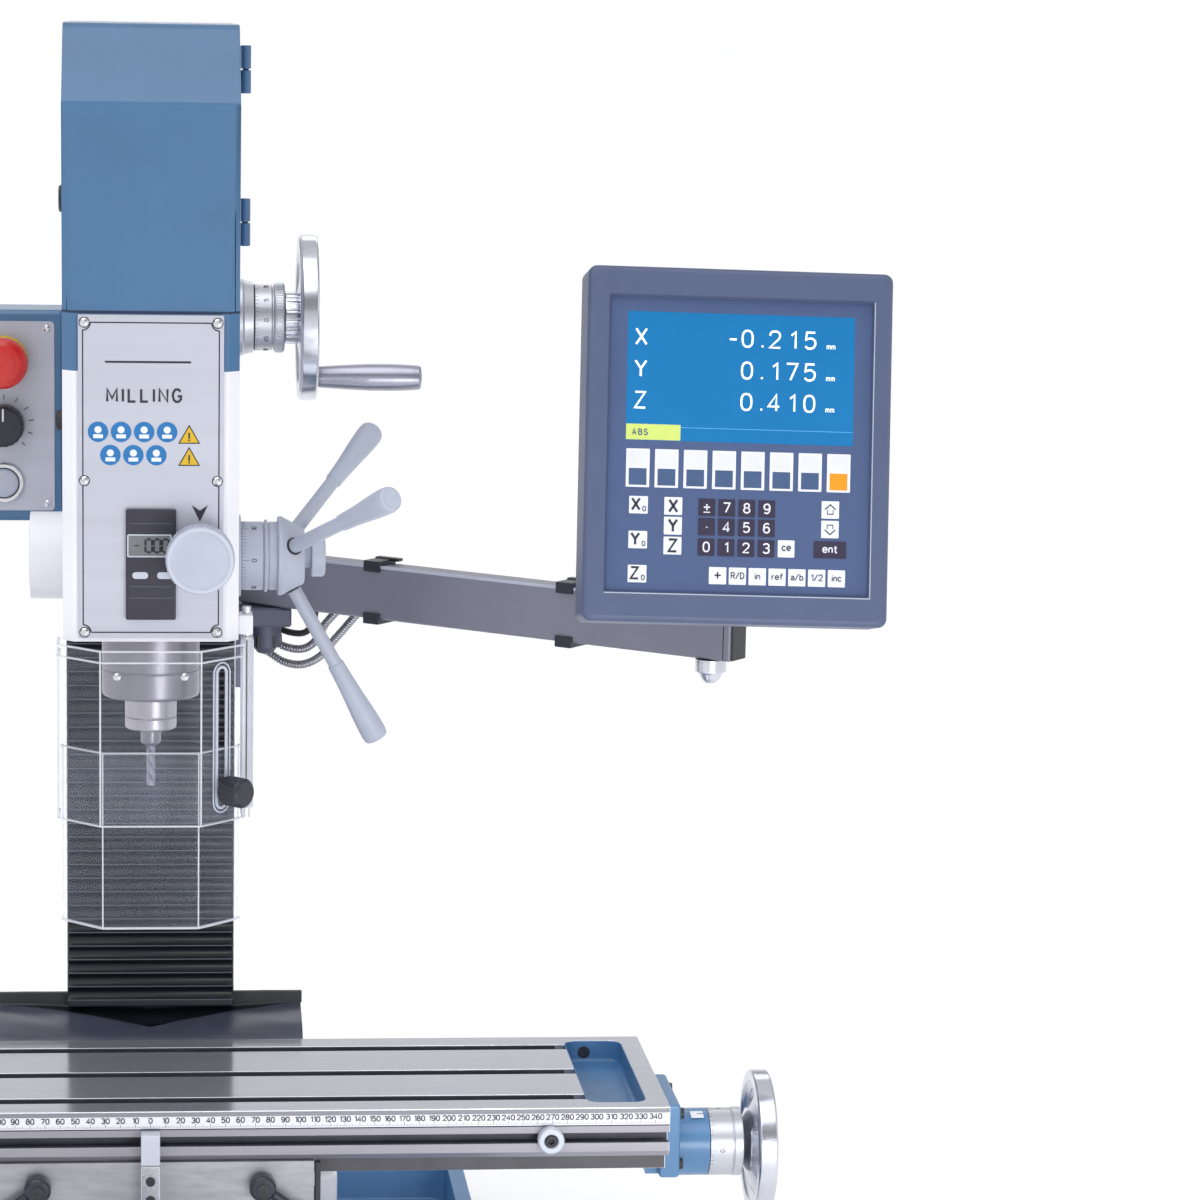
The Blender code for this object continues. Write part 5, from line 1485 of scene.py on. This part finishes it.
def feed():
    y, z = FEED
    centre = (0, y, z)
    flange = turned(
        [(57.8, 10), (57.8, 27.4), (58.4, 28), (61, 28), (61.3, 27.6), (61.3, 10)], "X", centre, ROUND
    )
    place("feed_flange", flange, "grey", "head")
    points = [(61.4, 0), (61.4, 23.1), (61.9, 23.5), (76.2, 23.5), (76.5, 22.7), (77.2, 22.7), (77.4, 24.6)]
    points += [(78.6, 25), (79.4, 24.8), (79.8, 22.8), (80.6, 22.8), (80.9, 23.5), (86.3, 23.5), (86.5, 26.6)]
    points += [(87.2, 27.2), (89.4, 27.2), (90.6, 26.4), (104.2, 19.4), (105, 18), (105.3, 8), (109.6, 8)]
    points += [(109.7, 13.6), (110.5, 14.2), (117.6, 14.2), (119, 13), (119.5, 11), (119.5, 0)]
    hub = turned(points, "X", centre, 128, 0.25)
    sockets = []
    for round_angle in (35, 155, 275):
        along, start = lever_line(round_angle)
        sockets.append(moved(rod(-12, 14, 5.6, "Z", (0, 0, 0), SMALL, 0), aimed(start, along)))
    place("feed_hub_body", carved(hub, *sockets), "grey", "feed", ("feed_hub",), 40)
    back = rod(-82.4, -80.2, 24, "X", centre, ROUND, 0.6)
    place("feed_back_cap", back, "grey", "head")
    shaft = turned([(-56, 0), (-56, 8.4), (61.5, 8.4), (61.5, 0)], "X", centre, 48)
    place("feed_shaft", shaft, "steel", "feed")
    dial_marks("feed_marks", "feed", 62.0, 23.5, centre, 1, 60, [str(n) for n in range(0, 60, 10)])
    for number, round_angle in enumerate((35, 155, 275), 1):
        feed_lever(number, round_angle)


def lever_line(round_angle):
    """Direction of a feed lever, square to the hub's cone, and the point where it leaves the cone."""
    slope, turn = math.radians(61), math.radians(round_angle)
    outward = Vector((0, math.cos(turn), math.sin(turn)))
    along = Vector((math.cos(slope), 0, 0)) + outward * math.sin(slope)
    start = Vector((0, *FEED)) + Vector((99.4, 0, 0)) + outward * 26.0
    return along, start


def aimed(start, along):
    return Matrix.Translation(start) @ Vector((0, 0, 1)).rotation_difference(along).to_matrix().to_4x4()


def feed_lever(number, round_angle):
    along, start = lever_line(round_angle)
    length = 119.5
    grip = length - 62.0
    points = [
        (-9, 0), (-9, 4.9), (grip, 4.9), (grip + 0.2, 5.3), (grip + 1.2, 5.8), (grip + 14, 6.3),
        (grip + 28, 7.2)
    ]
    points += [(grip + 40, 8.2), (grip + 50, 8.8), (grip + 57, 8.9), (length - 1.4, 8.4), (length - 0.3, 7.4)]
    points += [(length, 6.4), (length - 0.4, 5.8), (length - 0.4, 0)]
    lever = moved(turned(points, "Z", (0, 0, 0), 64, 0.3), aimed(start, along))
    place(f"lever_{number}", lever, "grey", "feed", (f"feed_lever_{number}",), 50)
    collar = turned(
        [(-5.6, 4.9), (-5.6, 6.1), (-3.4, 6.1), (-2.9, 5.7), (-2.9, 4.9)], "Z", (0, 0, 0), 48, 0.1
    )
    place(f"lever_ring_{number}", moved(collar, aimed(start, along)), "black", "feed")


def quill():
    low, high = 467.0, 690.0
    points = [
        (low, 15.5), (low, QUILL_R - 2), (low + 0.7, QUILL_R - 0.7), (low + 2.2, QUILL_R), (low + 18, QUILL_R)
    ]
    points += [
        (low + 18.4, QUILL_R - 0.4), (low + 19.2, QUILL_R - 0.4), (low + 19.6, QUILL_R), (high, QUILL_R),
        (high, 15.5)
    ]
    place("quill_body", turned(points, "Z", (0, 0, 0), 128, 0.3), "tool", "quill", ("quill",))
    nose = 444.0
    points = [
        (nose + 30, 0), (nose + 30, 7.4), (nose + 1.2, 7.4), (nose, 8.6), (nose, 16.2), (nose + 1.2, 17.4)
    ]
    points += [
        (nose + 8, 17.5), (nose + 8.4, 17.1), (nose + 9, 17.1), (nose + 9.4, 17.5), (466.6, 17.5), (466.6, 15)
    ]
    points += [(700, 15), (702, 9), (899, 9), (900, 8), (900, 0)]
    spindle = turned(points, "Z", (0, 0, 0), ROUND, 0.3)
    place("spindle_body", spindle, "tool_light", "spindle", ("spindle",), 40)
    points = [(466.2, 16), (466.2, 22), (466.9, 22.6), (466.9, 16)]
    place("spindle_nose_ring", turned(points, "Z", (0, 0, 0), ROUND, 0.2), "black_steel", "quill")


def end_mill():
    """Two-flute cutter with a plain shank."""
    nose, turns, steps = 444.0, 1.6, 60
    points = [(nose + 28, 0), (nose + 28, 6.9), (nose - 9.6, 6.9), (nose - 11, 5.6), (nose - 12.4, 3)]
    shank = turned(points + [(nose - 12.4, 0)], "Z", (0, 0, 0), 64, 0.3)
    rings = []
    for i in range(steps + 1):
        z = nose - 12.2 - 27.6 * i / steps
        twist = math.tau * turns * i / steps
        ring = []
        for k in range(28):
            angle = math.tau * k / 28
            reach = 3.0 - 1.15 * max(0.0, math.cos(2 * angle)) ** 2
            ring.append((reach * math.cos(angle + twist), reach * math.sin(angle + twist), z))
        rings.append(ring)
    place("cutter_flutes", stacked(rings), "tool", "spindle", ("end_mill",), 50)
    place("cutter_shank", shank, "tool", "spindle")


# Guard.


def guard_plan(out, back=-34.0):
    """Plan of a shield, offset outwards, from the hinge side round the front to the far side."""
    slant = out * 0.414
    right = [(60 + out, back), (60 + out, -62.5 - slant), (32 + slant, -90.5 - out)]
    path = right + [(-x, y) for x, y in right[::-1]]
    rounded = [path[0]]
    for before, corner, after in zip(path, path[1:], path[2:]):
        before, corner, after = Vector(before), Vector(corner), Vector(after)
        start = corner + (before - corner).normalized() * 2.5
        end = corner + (after - corner).normalized() * 2.5
        for i in range(5):
            t = i / 4
            rounded.append(tuple(start * (1 - t) ** 2 + corner * 2 * t * (1 - t) + end * t**2))
    return rounded + [path[-1]]


def wall(out_low, out_high, low, high, back=-34.0):
    return prism(guard_plan(out_high, back) + guard_plan(out_low, back)[::-1], low, high)


def facet_matrix(side=1):
    """Local x across the slanted facet, local y out of it, local z up."""
    return Matrix.Translation((side * FACET[0], FACET[1], 0)) @ spun(side * 45, "Z")


def loop_bar(half_x, low, high, thick, face):
    """Elongated rounded loop in the local plane X Z."""
    spots = []
    for i in range(17):
        angle = math.pi * i / 16
        spots.append(Vector((half_x * math.cos(angle), face, high - half_x + half_x * math.sin(angle))))
    for i in range(17):
        angle = math.pi + math.pi * i / 16
        spots.append(Vector((half_x * math.cos(angle), face, low + half_x + half_x * math.sin(angle))))
    rings = []
    count = len(spots)
    for index, spot in enumerate(spots):
        ahead = (spots[(index + 1) % count] - spots[index - 1]).normalized()
        side = Vector((0, 1, 0))
        other = ahead.cross(side)
        turns = [math.tau * k / 10 for k in range(10)]
        rings.append([spot + (side * math.cos(a) + other * math.sin(a)) * thick for a in turns])
    return stacked(rings, closed=True)


def guard():
    x, y = GUARD_POST
    low, high = 394.5, 512.0
    panel = wall(0.0, 2.0, low, high)
    slot = prism(rounded_rectangle(3.2, (high - low - 20) / 2, 3.0, (0, (low + high) / 2 + 4)), -4, 4, "Y")
    place("guard_panel", carved(panel, moved(slot, facet_matrix())), "clear", "guard", ("upper_shield",), 40)
    # Lighter bands along the shield's top and bottom, along a line below its top, and up its bends and back
    # edges: painted highlights.
    edge_highlights = [wall(-0.05, 2.35, top - 0.9, top) for top in (high, high - 7.5, low + 0.9)]
    for side in (-1, 1):
        for px, py in ((33.0, -92.0), (61.5, -62.8), (61.6, -35.0)):
            edge_highlights.append(
                soft_block((side * px - 0.6, py - 0.6, low), (side * px + 0.6, py + 0.6, high), 0.3, 1)
            )
    place("guard_edge_highlights", merged(*edge_highlights), "clear_edge", "guard")
    hinge = soft_block((x - 4, y - 7, low), (x + 4.5, y + 7, high), 0.9)
    hinge = carved(hinge, rod(low - 1, high + 1, 3.4, "Z", (x, y, 0), SMALL, 0))
    place("guard_hinge", hinge, "clear_edge", "guard")
    # Light strips on the hinge block's front edges: painted highlights.
    strips = [soft_block((x + 3.2, y - 7.2, low + 2), (x + 4.7, y - 6.2, high - 2), 0.2, 1)]
    strips.append(soft_block((x - 4.2, y - 7.2, low + 2), (x - 3.2, y - 6.4, high - 2), 0.2, 1))
    place("guard_hinge_edge_highlights", merged(*strips), "grey_light", "guard")
    shade = soft_block((x - 0.4, y - 7.25, low + 2), (x + 0.5, y - 6.6, high - 2), 0.2, 1)
    place("guard_hinge_shade", shade, "bracket", "guard")
    # Light loops round the slot's edges: painted highlights.
    loops = loop_bar(4.5, low + 10, high - 13, 1.0, -0.7)
    outer = loop_bar(7.6, low + 7, high - 10, 0.55, -0.9)
    place("guard_slot_rim_highlights", moved(merged(loops, outer), facet_matrix()), "grey_light", "guard")
    screws = []
    for side in (-1, 1):
        screws.append(dome_screw(side * 22, -92.6, high - 17, 2.6))
    place("guard_screws", merged(*screws), "screw", "guard")
    post = rod(388, 532, 3.0, "Z", (x, y, 0), SMALL)
    place("guard_post_pin", post, "screw", "head", ("guard_post",))
    block_top = soft_block((58.3, y - 9, 514), (x + 4, y + 9, 527), 1.0)
    place("guard_post_block", block_top, "white", "head")
    out = -2.4
    lower = wall(out, out + 2.0, 325.0, 444.0)
    place("guard_lower_panel", lower, "clear", "lower_guard", ("lower_shield",), 40)
    # Lighter bands along the lower shield's top, bottom and bends: painted highlights.
    edge_highlights = [
        wall(out - 0.15, out + 2.05, 443.1, 444.0, -58.0), wall(out - 0.15, out + 2.05, 325.0, 326.2, -58.0)
    ]
    for side in (-1, 1):
        for px, py in ((31.5, -89.5), (58.0, -63.4)):
            edge_highlights.append(
                soft_block((side * px - 0.5, py - 0.5, 325), (side * px + 0.5, py + 0.5, 444), 0.2, 1)
            )
    place("guard_lower_edge_highlights", merged(*edge_highlights), "clear_edge", "lower_guard")
    centre = Matrix.Translation((*FACET, 417)) @ spun(-45, "Z")
    points = [
        (-0.1, 0), (-0.1, 2.5), (2.4, 2.5), (2.4, 5.5), (5.5, 5.5), (5.5, 9), (7, 10), (21, 10), (23, 8),
        (23, 0)
    ]
    knob = turned(points, "X", (0, 0, 0), 64, 0.6)
    grooves = [rod(8, 20, 1.2, "X", (0, 10.6 * math.cos(a), 10.6 * math.sin(a)), 10, 0) for a in
               [math.tau * k / 16 for k in range(16)]]
    place(
        "guard_knob_body", moved(carved(knob, *grooves), centre), "black", "guard_knob", ("shield_knob",), 40
    )


# Readout arm.


def arm_frame(distance):
    """Local x along the arm, y across it to the back, at a distance from the pivot."""
    spot = ARM_START + ARM_ALONG * distance
    turn = Matrix.Rotation(math.atan2(ARM_ALONG.y, ARM_ALONG.x), 4, "Z")
    return Matrix.Translation((spot.x, spot.y, 0)) @ turn


def arm():
    refine("dro_arm", "arm", "arm", 1.8, 4)
    refine("dro_arm_bracket", "bracket", "machine_base", 1.4, 3)
    low, high = ARM_Z
    for number, distance in ((1, 105.0), (2, 272.0)):
        outer = soft_block((-7, -12.4, low - 3.6), (7, 10.6, high + 3.6), 1.0, 2)
        inner = block((-8, -10.05, low - 0.05), (8, 12, high + 0.05))
        middle = block((-8, -13, low + 4.5), (8, -9, high - 4.5))
        clip = carved(outer, inner, middle)
        tab = soft_block((-7, 3, high + 2.2), (14, 9.0, high + 4.6), 0.6, 2)
        hook = joined(clip, tab)
        place(f"arm_clip_{number}", moved(hook, arm_frame(distance)), "black", "arm")
        fence = tube([Vector((0, 10.2 + 8.2 * math.sin(t), (low + high) / 2 + 18.4 * math.cos(t))) for t in
                      [math.pi * k / 16 for k in range(17)]], 1.2, 8)
        place(f"arm_cable_tie_{number}", moved(fence, arm_frame(distance)), "black", "arm")
    length = (Vector(ARM_END) - ARM_START).length
    cap = soft_block((length - 0.2, -9.4, low + 0.6), (length + 1.8, 9.4, high - 0.6), 0.8, 2)
    place("arm_end_cap", moved(cap, arm_frame(0)), "black_steel", "arm")
    seam = block((length - 6, -10.15, low + 0.8), (length - 5.3, 10.15, high - 0.8))
    place("arm_end_seam", moved(seam, arm_frame(0)), "black_steel", "arm")
    tail = soft_block((-19.8, -9.4, low + 0.6), (-17.8, 9.4, high - 0.6), 0.8, 2)
    place("arm_tail_cap", moved(tail, arm_frame(0)), "black_steel", "arm")
    # A lighter strip along the arm's top front edge: painted highlight.
    edge = soft_block((-16, -10.25, high - 2.2), (length - 2, -9.2, high + 0.12), 0.4, 2)
    place("arm_top_edge_highlight", moved(edge, arm_frame(0)), "grey", "arm")
    x, y = ARM_PIVOT
    hexagon = turned([(452.5, 0), (452.5, 12.6), (462, 12.6), (462, 0)], "Z", (x, y, 0), 6, 0.8)
    place("arm_pivot_nut", hexagon, "black_steel", "machine_base")


def yoke():
    x, y = YOKE_PIVOT
    refine("dro_yoke", "black_steel", "yoke", 1.0, 3)
    points = [(466.6, 0), (467.4, 4), (470, 6.6), (474, 8.6), (475, 9.4), (475.4, 9.4), (475.4, 11)]
    nut = turned(points + [(484.4, 11), (484.4, 0)], "Z", (x, y, 0), 48, 0.5)
    place("yoke_dome_nut", nut, "chrome", "yoke")


# Console, in its own axes: x right, y into the case, z up from its centre.

FACE_Y = -CONSOLE_SIZE[1] / 2


def console_case():
    half_x, depth, half_z = CONSOLE_SIZE[0] / 2, CONSOLE_SIZE[1] / 2, CONSOLE_SIZE[2] / 2

    def ring(inset, radius, y):
        return [
            (px, y, pz) for px, pz in rounded_rectangle(half_x - inset, half_z - inset, radius, (0, 0), 6)
        ]

    rings = []
    for i in range(6):
        angle = math.pi / 2 * i / 5
        rings.append(ring(4 - 4 * math.sin(angle), 6, depth - 4 + 4 * math.cos(angle)))
    rings.append(ring(0, 6, 0))
    for i in range(8):
        angle = math.pi / 2 * i / 7
        rings.append(ring(4.5 - 4.5 * math.cos(angle), 6, 4 - depth - 4 * math.sin(angle)))
    rims = []
    for grow, y in ((1.4, FACE_Y - 0.2), (0.0, FACE_Y + 2.2), (-0.6, FACE_Y + 5.5)):
        rims.append([(px, y, pz) for px, pz in rounded_rectangle(88 + grow, 98 + grow, 1.4, (1, 0), 3)])
    case = carved(stacked(rings), stacked(rims))
    x = YOKE_PIVOT[0]
    pin_y, pin_z = TILT_PIN
    lug = joined(
        soft_block((x - 9.4, -28, pin_z - 9), (x + 9.4, pin_y, pin_z + 9), 0.8, 2),
        rod(x - 9.4, x + 9.4, 9, "X", (0, pin_y, pin_z), 48, 0.4),
    )
    lug = carved(lug, rod(x - 12, x + 12, 4.5, "X", (0, pin_y, pin_z), SMALL, 0))
    place("console_case", moved(case, CONSOLE), "console", "console", ("dro_console",), 30)
    place("console_lug", lug, "black_steel", "console")
    # Black strips on the case's back in place of vent slots: painted shade.
    vent_shades = []
    for x in range(-60, 72, 12):
        vent_shades.append(soft_block((x, depth - 0.3, 40), (x + 6, depth + 0.5, 90), 0.2, 1))
    place("console_vent_shade", moved(merged(*vent_shades), CONSOLE), "black", "console")
    ports = [soft_block((px - 9, depth - 0.2, -88), (px + 9, depth + 4, -74), 1.0, 2) for px in (40, 66)]
    place("console_ports", moved(merged(*ports), CONSOLE), "black_steel", "console")


PANEL_Y = FACE_Y + 4.4


def tile(x0, x1, z0, z1, proud=0.35, radius=0.5):
    """Thin raised key or label on the panel."""
    centre = ((x0 + x1) / 2, (z0 + z1) / 2)
    outline = rounded_rectangle((x1 - x0) / 2, (z1 - z0) / 2, radius, centre, 3)
    return prism(outline, PANEL_Y - proud, PANEL_Y + 0.3, "Y")


def console_piece(name, shapes, look):
    place(name, moved(merged(*shapes), CONSOLE), look, "console")


def key_text(text, x, z, size, proud=0.42, weight=0.18):
    return lettering(text, size, Matrix.Translation((x, PANEL_Y - proud, z)), weight)


def arrow_outline(x, z, up):
    spots = [(-2.2, -3.2), (2.2, -3.2), (2.2, 0.2), (4.2, 0.2), (0, 4.0), (-4.2, 0.2), (-2.2, 0.2)]
    return [(x + px, z + pz * up) for px, pz in spots]


def console_face():
    outline = rounded_rectangle(88.4, 98.4, 1.0, (1, 0), 3)
    console_piece("console_panel", [prism(outline, PANEL_Y, PANEL_Y + 2, "Y")], "panel")
    # Light strips along the bottom and right edges of the panel's recess: painted highlights.
    highlight_strips = [soft_block((-88.2, FACE_Y - 0.1, -99.4), (90.2, FACE_Y + 2, -98.6), 0.15, 1)]
    highlight_strips.append(soft_block((89.6, FACE_Y - 0.1, -99.0), (90.3, FACE_Y + 2, 98.6), 0.15, 1))
    console_piece("console_recess_highlights", highlight_strips, "grey")
    console_piece("console_screen", [tile(-75.2, 77.3, 2.7, 88.4, 0.12, 0.6)], "screen")
    console_piece("console_status", [tile(-75.0, -38.6, 3.1, 13.5, 0.2, 0.4)], "status")
    console_piece("console_line", [tile(-38.4, 77.0, 11.6, 12.0, 0.2, 0.15)], "screen_line")
    status = [key_text(letter, x, 8.2, 5.2, 0.3) for letter, x in (("A", -69.5), ("B", -65.6), ("S", -61.8))]
    console_piece("console_status_text", status, "key_blue")
    figures = []
    rows = ((71.6, "X", "-0.215"), (50.4, "Y", "0.175"), (29.5, "Z", "0.410"))
    for z, letter, number in rows:
        figures.append(key_text(letter, -66, z, 14.8, 0.24, weight=0.13))
        x = 51.6
        for character in reversed(number):
            wide = {".": 2.0, "-": 5.0, "1": 8.6}.get(character, 8.6)
            figures.append(key_text(character, x - wide / 2, z + 0.6, 15.4, 0.24, weight=0.12))
            x -= wide + {".": 4.6, "-": 3.0}.get(character, 3.3)
        figures.append(key_text("mm", 61.2, z - 2.9, 5.2, 0.24, 0.12))
    console_piece("console_figures", figures, "screen_ink")
    white, pale, blues, dark = [], [], [], []
    for i in range(8):
        x = -74.5 + 19.25 * i
        white.append(tile(x, x + 15.7, -28.4, -2.9))
        pale.append(tile(x + 1.7, x + 14.0, -14.6, -4.4, 0.4, 0.2))
        if i < 7:
            blues.append(tile(x + 1.9, x + 13.8, -27.0, -15.9, 0.45, 0.2))
    last = -74.5 + 19.25 * 7
    console_piece(
        "console_orange_key", [tile(last + 1.9, last + 13.8, -27.0, -15.9, 0.45, 0.2)], "key_orange"
    )
    inks, lights = [], []
    for letter, z in (("X", -40.2), ("Y", -63.3), ("Z", -85.9)):
        white.append(tile(-71.9, -59.4, z - 5.8, z + 5.8))
        inks.append(key_text(letter, -67.4, z + 0.5, 10.6, weight=0.2))
        inks.append(key_text("0", -61.8, z - 2.5, 4.4))
    for letter, z in (("X", -40.4), ("Y", -53.5), ("Z", -66.7)):
        white.append(tile(-48.4, -36.4, z - 5.9, z + 5.9))
        inks.append(key_text(letter, -42.4, z + 0.1, 11.2, weight=0.2))
    for row, z in (("+789", -40.7), (".456", -53.6), ("0123", -67.1)):
        for x, character in zip((-19.9, -6.6, 6.8, 20.3), row):
            dark.append(tile(x - 5.6, x + 5.6, z - 5.7, z + 5.7))
            lights.append(key_text(character, x, z + {".": 2.4}.get(character, 0.1), 8.8, weight=0.16))
            if character == "+":
                lights.append(tile(x - 2.2, x + 2.2, z - 3.6, z - 2.9, 0.42, 0.1))
    white.append(tile(28.2, 39.4, -72.6, -61.2))
    inks.append(key_text("ce", 33.8, -65.9, 6.0))
    for z, up in ((-40.2, 1), (-53.2, -1)):
        white.append(tile(57.1, 68.9, z - 5.8, z + 5.8))
        rim = prism(arrow_outline(63, z, up), PANEL_Y - 0.42, PANEL_Y - 0.2, "Y")
        inks.append(rim)
    arrows = []
    for z, up in ((-40.2, 1), (-53.2, -1)):
        spots = [
            (63 + (px - 63) * 0.74, z + (pz - z) * 0.74 - 0.1 * up) for px, pz in arrow_outline(63, z, up)
        ]
        arrows.append(prism(spots, PANEL_Y - 0.5, PANEL_Y - 0.3, "Y"))
    dark.append(tile(52.3, 74.1, -72.4, -61.2))
    lights.append(key_text("ent", 63.2, -66.2, 6.8))
    for i, text in enumerate(("+", "R/D", "in", "ref", "a/b", "1/2", "inc")):
        x = -11.8 + 13.3 * i
        white.append(tile(x - 5.8, x + 5.8, -91.6, -80.2))
        inks.append(key_text(text, x, -85.6, 9.0 if text == "+" else 5.6, weight=0.16))
    console_piece("console_keys_white", white, "key_white")
    console_piece("console_keys_pale", pale, "key_pale")
    console_piece("console_keys_blue", blues, "key_blue")
    console_piece("console_keys_dark", dark, "key_dark")
    console_piece("console_key_ink", inks, "ink")
    console_piece("console_key_arrows", arrows, "key_white")
    console_piece("console_key_light", lights, "key_white")


# Control box on the left of the column.


def control_box():
    refine("control_box", "blue", "machine_base", 1.8, 4)
    x = -105.0
    plate = prism(rounded_rectangle(36, 68, 3, (x, 636), 5), 185.2, 186.4, "Y")
    holes = [rod(183, 188, r, "Y", (x, 0, z), 48, 0) for z, r in ((676, 11.4), (630, 6.0), (588, 12.2))]
    place("box_plate", carved(plate, *holes), "plate", "machine_base")
    screws = [dome_screw(x + dx, 185.3, z, 2.6) for dx in (-31, 31) for z in (573, 699)]
    place("box_screws", merged(*screws), "screw", "machine_base")
    stop = [
        (152, 0), (152.2, 8), (153, 13), (155, 16.4), (158, 18), (163, 18.2), (166, 17), (167, 12), (168, 9)
    ]
    stop += [(203, 9), (203, 0)]
    place(
        "stop_button", turned(stop, "Y", (x, 0, 676), ROUND, 0.5), "red", "emergency_stop",
        ("emergency_stop_button",), 50
    )
    collar = turned(
        [(178, 11.2), (178, 16), (180, 17.6), (185.6, 17.6), (185.6, 11.2)], "Y", (x, 0, 676), ROUND, 0.5
    )
    place("stop_collar", collar, "sign_yellow", "machine_base")
    knob = turned([(166, 0), (166, 12.6), (168, 14.6), (180, 15), (182, 14), (182, 5), (203, 5), (203, 0)],
                  "Y", (x, 0, 630), ROUND, 0.5)
    grooves = [rod(165, 181, 1.3, "Y", (x + 15.4 * math.cos(a), 0, 630 + 15.4 * math.sin(a)), 12, 0)
               for a in [math.tau * k / 20 for k in range(20)]]
    place("speed_knob_body", carved(knob, *grooves), "black", "speed", ("speed_knob",), 40)
    place(
        "speed_knob_line", soft_block((x - 0.6, 165.7, 634), (x + 0.6, 167, 643), 0.1, 1), "key_white",
        "speed"
    )
    ticks = []
    for i in range(11):
        turn = Matrix.Translation((x, 0, 630)) @ spun(-135 + 27 * i, "Y")
        ticks.append(moved(block((-0.3, 184.9, 18), (0.3, 185.5, 21.5)), turn))
    place("speed_ticks", merged(*ticks), "ink", "machine_base")
    button = turned(
        [(180, 0), (180, 8), (180.6, 9.6), (182, 10.4), (203, 10.5), (203, 0)], "Y", (x, 0, 588), 64, 0.4
    )
    place("start_button", button, "grey", "start", ("start_switch",), 50)
    ring = turned(
        [(182, 11.2), (182, 13.6), (183, 14.4), (185.6, 14.4), (185.6, 11.2)], "Y", (x, 0, 588), 64, 0.4
    )
    place("start_ring", ring, "screw", "machine_base")


# Studio: a pale floor, soft light and the camera.


def floor():
    mesh = bpy.data.meshes.new("floor")
    reach = 60.0
    mesh.from_pydata(
        [(-reach, -reach, 0), (reach, -reach, 0), (reach, reach, 0), (-reach, reach, 0)], [], [(0, 1, 2, 3)]
    )
    material = surface("floor", (0.94, 0.94, 0.945), 0.8, spread=0.004, scale=2.0, grain=0.0, glow=0.12)
    mesh.materials.append(material)
    obj = bpy.data.objects.new("floor", mesh)
    bpy.context.scene.collection.objects.link(obj)


def sky():
    world = bpy.data.worlds.new("studio")
    bpy.context.scene.world = world
    world.use_nodes = True
    tree = world.node_tree
    background = tree.nodes["Background"]
    place_of = tree.nodes.new("ShaderNodeTexCoord")
    split = tree.nodes.new("ShaderNodeSeparateXYZ")
    ramp = tree.nodes.new("ShaderNodeValToRGB")
    tree.links.new(place_of.outputs["Generated"], split.inputs["Vector"])
    tree.links.new(split.outputs["Z"], ramp.inputs["Fac"])
    tree.links.new(ramp.outputs["Color"], background.inputs["Color"])
    stops = (
        (0.0, 1.0), (0.05, 1.0), (0.08, 0.86), (0.19, 0.86), (0.3, 0.42), (0.5, 0.33), (0.72, 0.65),
        (1.0, 0.86)
    )
    elements = ramp.color_ramp.elements
    while len(elements) < len(stops):
        elements.new(0.5)
    for element, (position, value) in zip(elements, stops):
        element.position = position
        element.color = (value, value, value * 1.01, 1)
    background.inputs["Strength"].default_value = 1.0


def lamp(name, kind, energy, location, target, size=1.0):
    light = bpy.data.lights.new(name, kind)
    light.energy = energy
    if kind == "SUN":
        light.angle = math.radians(size)
    else:
        light.shape = "RECTANGLE"
        light.size, light.size_y = size
    obj = bpy.data.objects.new(name, light)
    obj.location = location
    obj.rotation_euler = (Vector(target) - Vector(location)).to_track_quat("-Z", "Y").to_euler()
    bpy.context.scene.collection.objects.link(obj)


def lights():
    lamp("sky_sun", "SUN", 1.25, (-0.9, -1.7, 4.6), (0, 0, 0.5), 60)
    lamp("key", "AREA", 5.5, (-1.3, -2.2, 1.6), (0.1, 0, 0.6), (1.2, 1.2))
    lamp("rim", "AREA", 4, (1.9, -0.6, 1.5), (0.1, 0.1, 0.6), (0.6, 1.6))
    lamp("back", "AREA", 5, (0.3, 2.2, 1.8), (0, 0.2, 0.6), (1.4, 0.8))
    lamp("tray_fill", "AREA", 3.6, (0.5, -1.1, 0.22), (0.2, 0.0, 0.06), (0.5, 0.3))


def camera():
    data = bpy.data.cameras.new("camera")
    data.sensor_width = 36.0
    data.lens = 114.12
    data.shift_x = 0.1012
    data.shift_y = 0.0682
    obj = bpy.data.objects.new("camera", data)
    yaw, pitch, roll = math.radians(-5.0), math.radians(80.0), math.radians(0.911)
    turn = Matrix.Rotation(yaw, 4, "Z") @ Matrix.Rotation(pitch, 4, "X") @ Matrix.Rotation(roll, 4, "Z")
    obj.matrix_world = Matrix.Translation((0, -2.550, 0.927)) @ turn
    bpy.context.scene.collection.objects.link(obj)
    bpy.context.scene.camera = obj


def build():
    camera()
    cables()
    base()
    bellows()
    way_sheet()
    saddle()
    lock_levers()
    table()
    for side in (1, -1):
        end_bracket(side)
    x_screw()
    table_stops()
    y_screw()
    z_feed()
    head_casting()
    cover_door()
    seal()
    drive()
    front_plate()
    plate_signs()
    depth_readout()
    fine_feed()
    feed()
    quill()
    end_mill()
    guard()
    arm()
    yoke()
    console_case()
    console_face()
    control_box()
    floor()
    sky()
    lights()
    bpy.context.scene.view_settings.view_transform = "Standard"


build()
